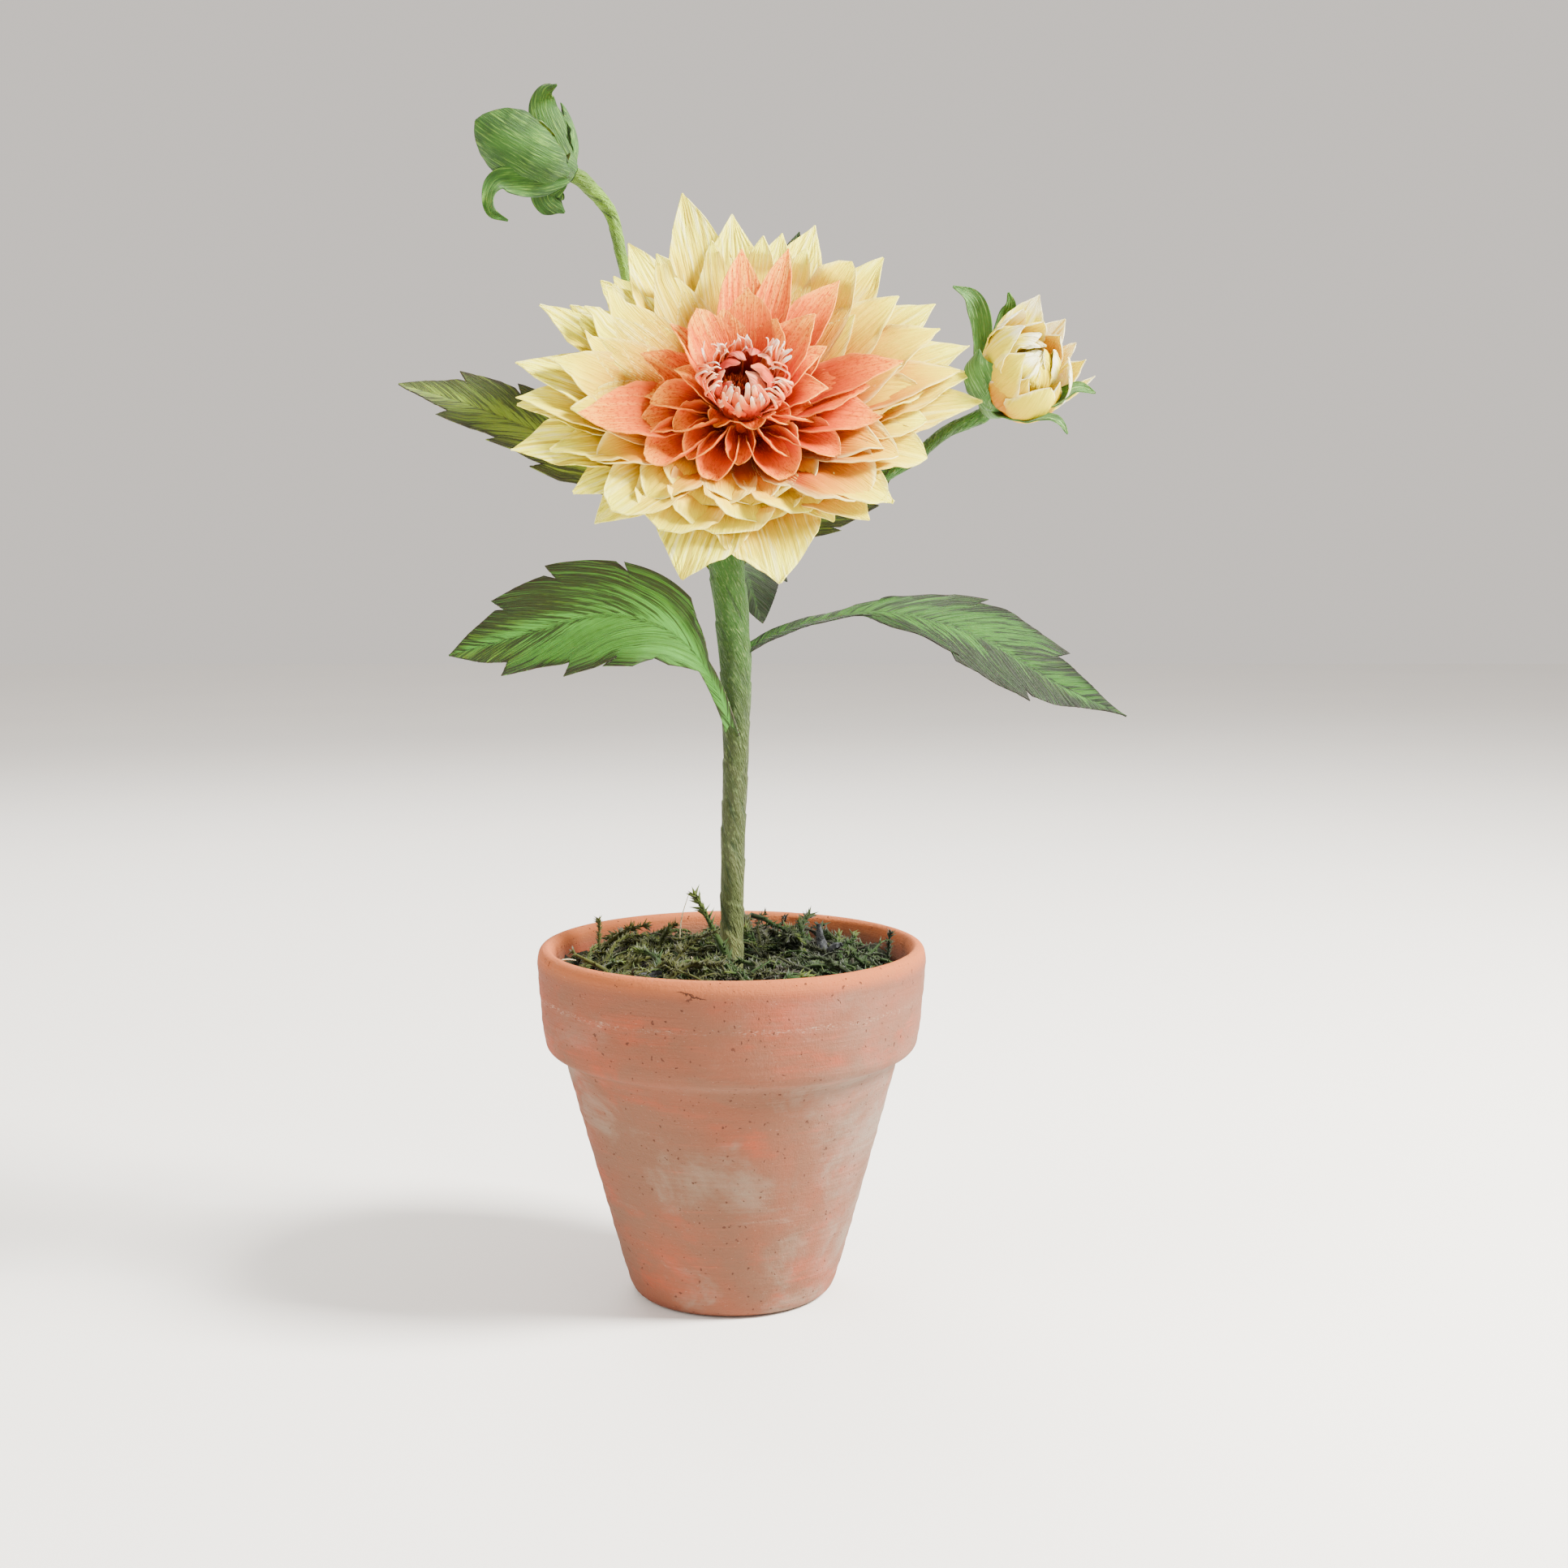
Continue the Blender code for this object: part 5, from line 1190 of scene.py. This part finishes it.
def leaf_sheet(line, face_root, face_tip, half, stalk, sets, fold, peak, swell, fan, seed):
    """Middle sheet of a toothed leaf, with its place and grain.

    Half width is half * sin(pi t^peak)^swell along the blade. Near the rim it is scaled, and moved
    forward, by lines that run from tooth to notch, so each tooth is swept past its notch.
    """
    rng = np.random.default_rng(seed)
    fine = smooth_line(line, 200)
    run = run_of(fine)
    length = run[-1]
    blade = length * (1 - stalk)
    knots, kinds_left, kinds_right = [0, stalk * length], ["edge"] * 2, ["edge"] * 2
    for k in range(sets):
        start = length * stalk + blade * (FIRST_TOOTH + TEETH_SHARE * k / sets)
        knots += [start, start + TOOTH_STEP, start + 2 * TOOTH_STEP]
        kinds_left += ["tip", "notch", "edge"]
        kinds_right += ["edge", "tip", "notch"]
    knots.append(length)
    grow = {"edge": 1, "tip": TOOTH_OUT, "notch": NOTCH_IN}
    sweep = {"edge": 0, "tip": TOOTH_REACH, "notch": 0.5}
    gone = np.unique(np.concatenate([np.linspace(0, length, 200), np.clip(knots, 0, length)]))
    v = np.linspace(-1, 1, 29)
    near_rim = np.clip((np.abs(v) - TEETH_FROM) / (1 - TEETH_FROM), 0, 1)[None, :] ** 1.3
    scale, forward = np.zeros((2, len(gone), len(v)))
    for side, kinds in ((v < 0, [*kinds_left, "edge"]), (v >= 0, [*kinds_right, "edge"])):
        scale[:, side] = np.interp(gone, knots, [grow[k] for k in kinds])[:, None]
        forward[:, side] = np.interp(gone, knots, [sweep[k] for k in kinds])[:, None]
    scale = 1 + (scale - 1) * near_rim
    forward = forward * near_rim
    v = v[None, :]
    centre = np.stack([np.interp(gone, run, column) for column in fine.T], 1)
    slope = np.gradient(fine, run, axis=0)
    ahead = unit(np.stack([np.interp(gone, run, column) for column in slope.T], 1))
    gone = gone[:, None]
    share = gone / length
    face = np.array(face_root) * (1 - share) + np.array(face_tip) * share
    across = unit(np.cross(face, ahead))
    up = np.cross(ahead, across)
    t = np.clip((share - stalk) / (1 - stalk), 0, 1)
    wide = np.maximum(half * np.sin(math.pi * t**peak) ** swell, LEAF_STALK_HALF * (1 - 0.9 * t))
    wide = np.maximum(wide, 0.25)
    out = wide * v * scale
    lift = np.abs(out) * math.tan(math.radians(fold))
    lift -= 0.35 * np.exp(-((out / 1.1) ** 2)) * np.minimum(1, wide / 6)
    phase = rng.uniform(0, TURN, 4)
    rim = np.abs(v) ** 2.5 * np.minimum(1, wide / 8)
    lift += 0.9 * rim * np.sin(gone / 6.5 + phase[0] + 1.5 * np.sign(v))
    lift += 0.35 * rim * np.sin(gone / 2.3 + phase[1] + 2.5 * np.sign(v))
    fanned = (gone - fan * np.abs(out)) / math.hypot(1, fan)
    pleat = np.sin(fanned * 2.6 + phase[2]) + 0.7 * np.sin(fanned * 4.3 + phase[3])
    lift += 0.11 * pleat * np.minimum(1, np.abs(out) / 3) * np.minimum(1, wide / 6)
    grid = centre[:, None] + across[:, None] * out[..., None] + up[:, None] * lift[..., None]
    grid = grid + ahead[:, None] * forward[..., None]
    grain = three(np.abs(out) * MM, fanned * MM, seed + 0.37 * np.sign(v))
    return [values[None] for values in (grid, three(t, v, 0.5), grain)]


def build_leaves():
    papers = {name: leaf_paper(name) for name in LEAF_PAPERS}
    for seed, (name, leaf) in enumerate(LEAVES.items(), 61):
        paper = papers[LEAF_PAPER_OF[name]]
        sheet = leaf_sheet(*leaf, seed)
        sheets_piece(f"{name}_paper", sheet, POT_FRAME, LEAF_THICK, paper, name)


# Pot, soil and moss

POT_RIM, POT_HEIGHT, POT_WALL, POT_FOOT = 76.2, 138.6, 65.4, 38.5
BAND_BOTTOM, DRAIN, FLOOR = 97.5, 6.5, 9
SOIL_TOP, MOSS_TOP, MOSS_RADIUS, HOLE = 117, 127, 66.9, 4.9

# Chips in the clay: angle, height, size and depth.
CHIPS = (
    (4.5, 132, 1.1, 0.5), (3.6, 136.5, 1.5, 0.6), (5.9, 137, 1.2, 0.5),
    (1.2, 137.5, 1.6, 0.7), (4.42, 131, 0.8, 0.5), (4, 118, 0.9, 0.35),
)
CHIPS_FROM = 70


def rounded(corners, radius, steps):
    """A closed profile with each corner drawn as a quadratic curve between points on its edges."""
    corners = np.array(corners, float)
    before, after = np.roll(corners, 1, 0), np.roll(corners, -1, 0)
    t = np.linspace(0, 1, steps)[None, :, None]
    ends = []
    for other in (before, after):
        gap = np.linalg.norm(other - corners, axis=1)[:, None]
        ends.append(corners + (other - corners) / gap * np.minimum(radius, 0.42 * gap))
    start, end = ends[0][:, None], ends[1][:, None]
    curve = (1 - t) ** 2 * start + 2 * t * (1 - t) * corners[:, None] + t**2 * end
    return curve.reshape(-1, 2)


def build_pot():
    """The turned clay body. Its radius varies a little by low waves round and up the wall, with
    small chips in the lip."""
    top, rim, wall, foot, band = POT_HEIGHT, POT_RIM, POT_WALL, POT_FOOT, BAND_BOTTOM
    corners = (
        (rim - 4.4, top), (rim - 1.6, top - 1), (rim - 0.2, top - 5.5), (rim - 2.8, band + 5.5),
        (rim - 4.8, band + 0.6), (wall + 1.2, band - 1), (wall - 0.6, band - 4.6), (foot + 4.2, 11),
        (foot + 1.6, 2.8), (foot - 1.5, 0), (DRAIN, 0), (DRAIN, FLOOR), (foot - 5, FLOOR),
        (foot - 1.4, FLOOR + 4), (wall - 6.4, band - 6), (rim - 9.4, band + 6), (rim - 7, top - 2.6),
    )
    profile = rounded(corners, 7, 7)
    fine = [profile[:1]]
    for a, b in zip(profile, np.roll(profile, -1, 0)):
        pieces = max(1, int(np.linalg.norm(b - a) / 2.5))
        fine.append(a + (b - a) * np.linspace(0, 1, pieces + 1)[1:, None])
    profile = np.concatenate(fine)[:-1]
    angle = round_angles(208)[None, :]
    radius, height = profile[:, :1], profile[:, 1:]
    outside = np.clip((radius - 30) / 10, 0, 1)
    throw = 0.10 * np.sin(height / 1.9) + 0.08 * np.sin(height / 0.83 + 2 * angle)
    sway = 0.22 * np.sin(2 * angle + 0.5) + 0.12 * np.sin(5 * angle + height / 20)
    radius = radius + outside * (throw + sway)
    for turn, level, size, deep in CHIPS:
        away = ((angle - turn) * rim) ** 2 + (height - level) ** 2
        radius = radius - deep * np.exp(-away / size**2) * (radius > CHIPS_FROM)
    points = three(radius * np.cos(angle), radius * np.sin(angle), height).reshape(-1, 3)
    faces = quads(*radius.shape, ring=True, loop=True)
    add_mesh("pot_clay", points, [faces], clay("terracotta_clay"), ["pot"], sharp=60)


def moss_height(x, y):
    """How far the moss stands above its mean top: low mounds and hollows, a little up the wall."""
    waves = 2.2 * np.sin(0.085 * x + 0.6) * np.cos(0.1 * y - 0.4)
    waves += 1.7 * np.sin(0.17 * x - 0.13 * y + 1.1) + 1.2 * np.cos(0.27 * y + 0.19 * x)
    return waves + 2.4 * (np.hypot(x, y) / MOSS_RADIUS) ** 2


def build_moss_mat():
    """The matted base of the moss: a ring whose top follows moss_height, roughened by waves."""
    radii = np.linspace(HOLE, MOSS_RADIUS, 60)[:, None]
    angle = round_angles(220)[None, :]
    x, y = radii * np.cos(angle), radii * np.sin(angle)
    rough = np.random.default_rng(5).normal(0, 0.35, x.shape)
    for scale, size in ((0.9, 0.5), (0.47, 0.8)):
        waves = np.sin(scale * x + 2 * np.sin(0.3 * y)) * np.sin(scale * y + 1.7 * np.sin(0.33 * x))
        rough = rough + size * waves
    z = MOSS_TOP - 1.5 + moss_height(x, y) + rough
    z[-1] = SOIL_TOP + 0.5
    z[0] = np.minimum(z[0], MOSS_TOP)
    low = three(x, y, SOIL_TOP + 0.36)[[-1, 0]]
    grid = np.concatenate([three(x, y, z), low])
    faces = quads(*grid.shape[:2], ring=True, loop=True)
    # The mat is painted near black: painted shade in the gaps between the moss strands.
    mat_gap_shade = crumbs("moss_gap_shade", "0A0C06", "1E240E")
    add_mesh("moss_mat", grid.reshape(-1, 3), [faces], mat_gap_shade, ["moss"], sharp=180)


def add_strands(name, green, columns, seed, stations, leaflets):
    """Moss strands: a bent thread of four sides with small pointed leaflets along it.

    columns has x, y and z where each strand starts, its heading, climb, length, radius and sag. It
    runs its length in its heading, climbing by climb radians less sag times the way gone to the
    power of 1.5. It wanders sideways by a sine. Each leaflet is a three-sided spike with its root
    sunk in the thread.
    """
    x, y, z, headings, climbs, lengths, radii, sag = (column[:, None] for column in columns)
    rng = np.random.default_rng(seed)
    count = len(x)
    t = np.linspace(0, 1, stations)[None, :]
    heading = headings + rng.uniform(-0.9, 0.9, (count, 1)) * t
    beat = TURN * t * rng.uniform(0.5, 1.6, (count, 1))
    heading = heading + 0.5 * np.sin(beat + rng.uniform(0, TURN, (count, 1)))
    climb = climbs - sag * t**1.5
    move = three(np.cos(heading) * np.cos(climb), np.sin(heading) * np.cos(climb), np.sin(climb))
    step = lengths[..., None] / (stations - 1)
    line = three(x, y, z) + np.cumsum(move * step, 1)
    across = unit(np.cross(move, (0, 0, 1)))
    other = np.cross(move, across)
    angle = round_angles(4)
    ring = np.cos(angle)[:, None] * across[:, :, None] + np.sin(angle)[:, None] * other[:, :, None]
    body = line[:, :, None] + ring * (radii * (1 - 0.75 * t))[..., None, None]
    last = (stations - 1) * 4
    caps = np.array([[0, 1, 2, 3], [last + 3, last + 2, last + 1, last]])
    one = np.concatenate([quads(stations, 4, ring=True), caps])
    chance = rng.uniform(0, 1, count)[:, None, None]
    spots = rng.uniform(0.04, 0.98, (count, leaflets))
    index = spots * (stations - 1)
    low = np.minimum(index.astype(int), stations - 2)
    part = (index - low)[..., None]
    rows = np.arange(count)[:, None]
    root = line[rows, low] * (1 - part) + line[rows, low + 1] * part
    ahead, side, up = move[rows, low], across[rows, low], other[rows, low]
    each = (count, leaflets, 1)
    spin = rng.uniform(0, TURN, each)
    out = np.cos(spin) * side + np.sin(spin) * up
    reach = rng.uniform(1, 2.3, each) * (0.6 + radii[..., None])
    lean = rng.uniform(0.5, 1.1, each)
    tip = root + reach * (out * np.sin(lean) + ahead * np.cos(lean))
    width = 0.17 * reach
    sideways = np.cross(out, ahead)
    base = [root + sideways * width, root - sideways * width, root + (ahead - out) * width]
    spikes = np.stack([*base, tip], 2).reshape(-1, 3)
    spike = np.array([[0, 1, 2], [1, 0, 3], [2, 1, 3], [0, 2, 3]])
    spike_t = np.stack([spots, spots, spots, np.minimum(spots + 0.25, 1)], -1)
    threads = body.reshape(-1, 3)
    places = [three(t[..., None], 0 * angle, chance), three(spike_t, 0, chance)]
    marks = {"place": np.concatenate([place.reshape(-1, 3) for place in places])}
    faces = [repeated(one, 4 * stations, count), repeated(spike, 4, len(spikes) // 4) + len(threads)]
    points = np.concatenate([threads, spikes])
    add_mesh(name, points, faces, green, ["moss"], marks, sharp=180)


# Strands that stand out of the moss: where each starts, its heading, climb, length, radius, sag.
ROPES = (
    (3, -13, 125, 2.95, 1.15, 37, 2.1, 0.15), (-52, 0, 134, 1.4, 1.5, 13, 0.8, 0.1),
    (61, 10, 124, 1.2, 1.45, 16, 0.9, 0.1), (6, 20, 146, -0.25, -0.25, 25, 1.1, 0.5),
    (28, 20, 131, 1.9, 1.2, 14, 0.8, 0.6), (-30, 8, 131, 0.9, 1.1, 12, 0.8, 0.2),
    (40, -2, 131, 0.4, 0.8, 18, 0.9, 0.6), (-45, -22, 129, 0.3, 0.6, 26, 1.3, 1),
    (18, -26, 128, 3, 0.5, 28, 1.4, 0.9), (50, -25, 127, 2.6, 0.6, 20, 1.1, 0.9),
    (-20, -20, 129, 1.2, 0.7, 22, 1.2, 0.9), (-58, -12, 128, 0.8, 0.9, 14, 0.9, 0.5),
)

# Bits that lie in the moss: points of the line, and the radius.
BARK = (
    (((35, 0, 124), (37, -1, 131), (35, 1, 138), (34, 2, 145.5)), 2.2),
    (((35.5, 0, 133), (40, -2, 137), (43, -3, 138.5)), 1.6),
    (((-42, -32, 128.5), (-30, -34, 130.5), (-18, -35, 128)), 4.2),
    (((-10, -36, 126.5), (-4, -37, 128), (4, -36, 126.5)), 2.6),
    (((22, -14, 128), (27, -16, 131), (31, -15, 128)), 2.6),
)
STRAW = (
    (((-22, 30, 133), (-21, 30, 143), (-18, 30, 153)), 0.35),
    (((-15, -30, 126), (-13.5, -30.5, 133), (-14.5, -31, 139)), 0.5),
    (((-66, -28, 136), (-62, -29, 137.5), (-58.5, -28, 137)), 0.5),
)
STRAND_COUNT, ROPE_COUNT = 660, 95


def scattered(rng, count, inner, margin):
    """Even random places on the moss, as radius, angle, x and y."""
    radius = inner + (MOSS_RADIUS - margin) * np.sqrt(rng.uniform(0, 1, count))
    turn = rng.uniform(0, TURN, count)
    return radius, turn, radius * np.cos(turn), radius * np.sin(turn)


def add_bars(name, bars, sides, material, sharp):
    """Round bars as one piece. bars has a line and its radii for each."""
    parts = []
    for line, reach in bars:
        grid, body, ends = tube(line, reach, sides)
        parts.append((grid.reshape(-1, 3), body, ends, {}))
    points, faces, _ = joined(parts)
    add_mesh(name, points, faces, material, [], sharp=sharp)


def build_moss():
    """The mat, loose strands all over it, thick ropes and sprigs, bits of grey bark, pale straw.
    Strands near the wall head inwards."""
    build_moss_mat()
    green = moss_thread("moss_strand", "3C3F12", "20360F", "1C160D")
    rng = np.random.default_rng(29)
    count = STRAND_COUNT
    radius, turn, x, y = scattered(rng, count, 9, 12)
    z = MOSS_TOP - 2 + moss_height(x, y)
    any_way = rng.uniform(0, TURN, count)
    inwards = turn + math.pi + rng.uniform(-1.2, 1.2, count)
    heading = np.where(radius > MOSS_RADIUS - 16, inwards, any_way)
    lengths = rng.uniform(9, 26, count)
    climb = rng.uniform(0.1, 0.9, count)
    sag = climb * rng.uniform(0.8, 2.2, count)
    thick = rng.uniform(0.4, 0.8, count) + 1.1 * rng.uniform(0, 1, count) ** 4
    add_strands("moss_strands", green, (x, y, z, heading, climb, lengths, thick, sag), 31, 10, 18)
    rng = np.random.default_rng(47)
    count = ROPE_COUNT
    radius, turn, x, y = scattered(rng, count, 8, 18)
    z = MOSS_TOP - 1 + moss_height(x, y)
    inwards = turn + math.pi + rng.uniform(-1.3, 1.3, count)
    heading = np.where(radius > 40, inwards, rng.uniform(0, TURN, count))
    ranges = ((0.2, 1), (14, 30), (0.8, 1.9), (0.5, 1.3))
    drawn = [rng.uniform(low, high, count) for low, high in ranges]
    columns = np.concatenate([np.array(ROPES).T, [x, y, z, heading, *drawn]], 1)
    add_strands("moss_ropes", green, columns, 37, 20, 100)
    shape = 0.35 + 0.65 * np.sin(math.pi * np.clip(np.linspace(0, 1, 16)[:, None], 0.06, 0.94))
    bars = [(smooth_line(line, 16), r * shape * rng.uniform(0.72, 1.1, (16, 9))) for line, r in BARK]
    add_bars("bark_bits", bars, 9, crumbs("bark_bits", "26282B", "55585C"), 35)
    bars = [(smooth_line(line, 12), r * np.linspace(1, 0.4, 12)) for line, r in STRAW]
    add_bars("straw_bits", bars, 6, crumbs("pale_straw", "B7A97C", "D8CFAE"), 180)


# Stage: in metres. Lamps have a place, power, size and colour, and all aim at one height.

FLOOR_REACH = 4
LAMPS = {
    "key": ((1.3, -0.3, 1.35), 175, 0.5, "FFFBF2"),
    "fill": ((-1.4, -0.6, 0.9), 18, 1, "FFFAF4"),
    "back": ((-0.4, 1.2, 1.3), 26, 1, "FFFDF8"),
}
LAMP_AIM_HEIGHT = 0.24
CAMERA_PLACE, CAMERA_PITCH = (0.0204 - MIDDLE_X * MM, -0.8395, 0.2996), 0.117


def build_stage():
    mesh = bpy.data.meshes.new("floor")
    s = FLOOR_REACH
    mesh.from_pydata([(-s, -s, 0), (s, -s, 0), (s, s, 0), (-s, s, 0)], [], [(0, 1, 2, 3)])
    mesh.materials.append(plain_floor("studio_floor"))
    floor = linked("floor", mesh)
    world = bpy.data.worlds.new("studio")
    world.use_nodes = True
    background = world.node_tree.nodes["Background"]
    background.inputs["Color"].default_value = tone("F6EEE6")
    background.inputs["Strength"].default_value = 0.95
    bpy.context.scene.world = world
    for name, (place, energy, size, colour) in LAMPS.items():
        light = bpy.data.lights.new(name, "AREA")
        light.energy = energy
        light.size = size
        light.color = tone(colour)[:3]
        lamp = linked(name, light)
        lamp.location = place
        x, y, z = np.array((0, 0, LAMP_AIM_HEIGHT)) - place
        lamp.rotation_euler = (math.atan2(math.hypot(x, y), -z), 0, math.atan2(y, x) - math.pi / 2)
    camera = bpy.data.cameras.new("camera")
    camera.lens = 50
    camera.sensor_width = 36
    camera.sensor_fit = "HORIZONTAL"
    camera.clip_end = 20
    stand = linked("camera", camera)
    stand.location = CAMERA_PLACE
    stand.rotation_euler = (math.pi / 2 - CAMERA_PITCH, 0, 0)
    bpy.context.scene.camera = stand


build_stage()
sepal_green = sepal_paper("sepal_crepe", "6C9A34", "30600F", "173A06")
fresh_green = sepal_paper("fresh_crepe", "8CB866", "4A7C30", "28500F")
build_pot()
build_moss()
build_stem()
build_leaves()
build_calyx(sepal_green)
build_core()
build_petals()
build_centre()
build_buds(sepal_green, fresh_green)
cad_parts["soil"].data.materials.clear()
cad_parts["soil"].data.materials.append(crumbs("potting_soil", "1A130C", "3B2C1E"))
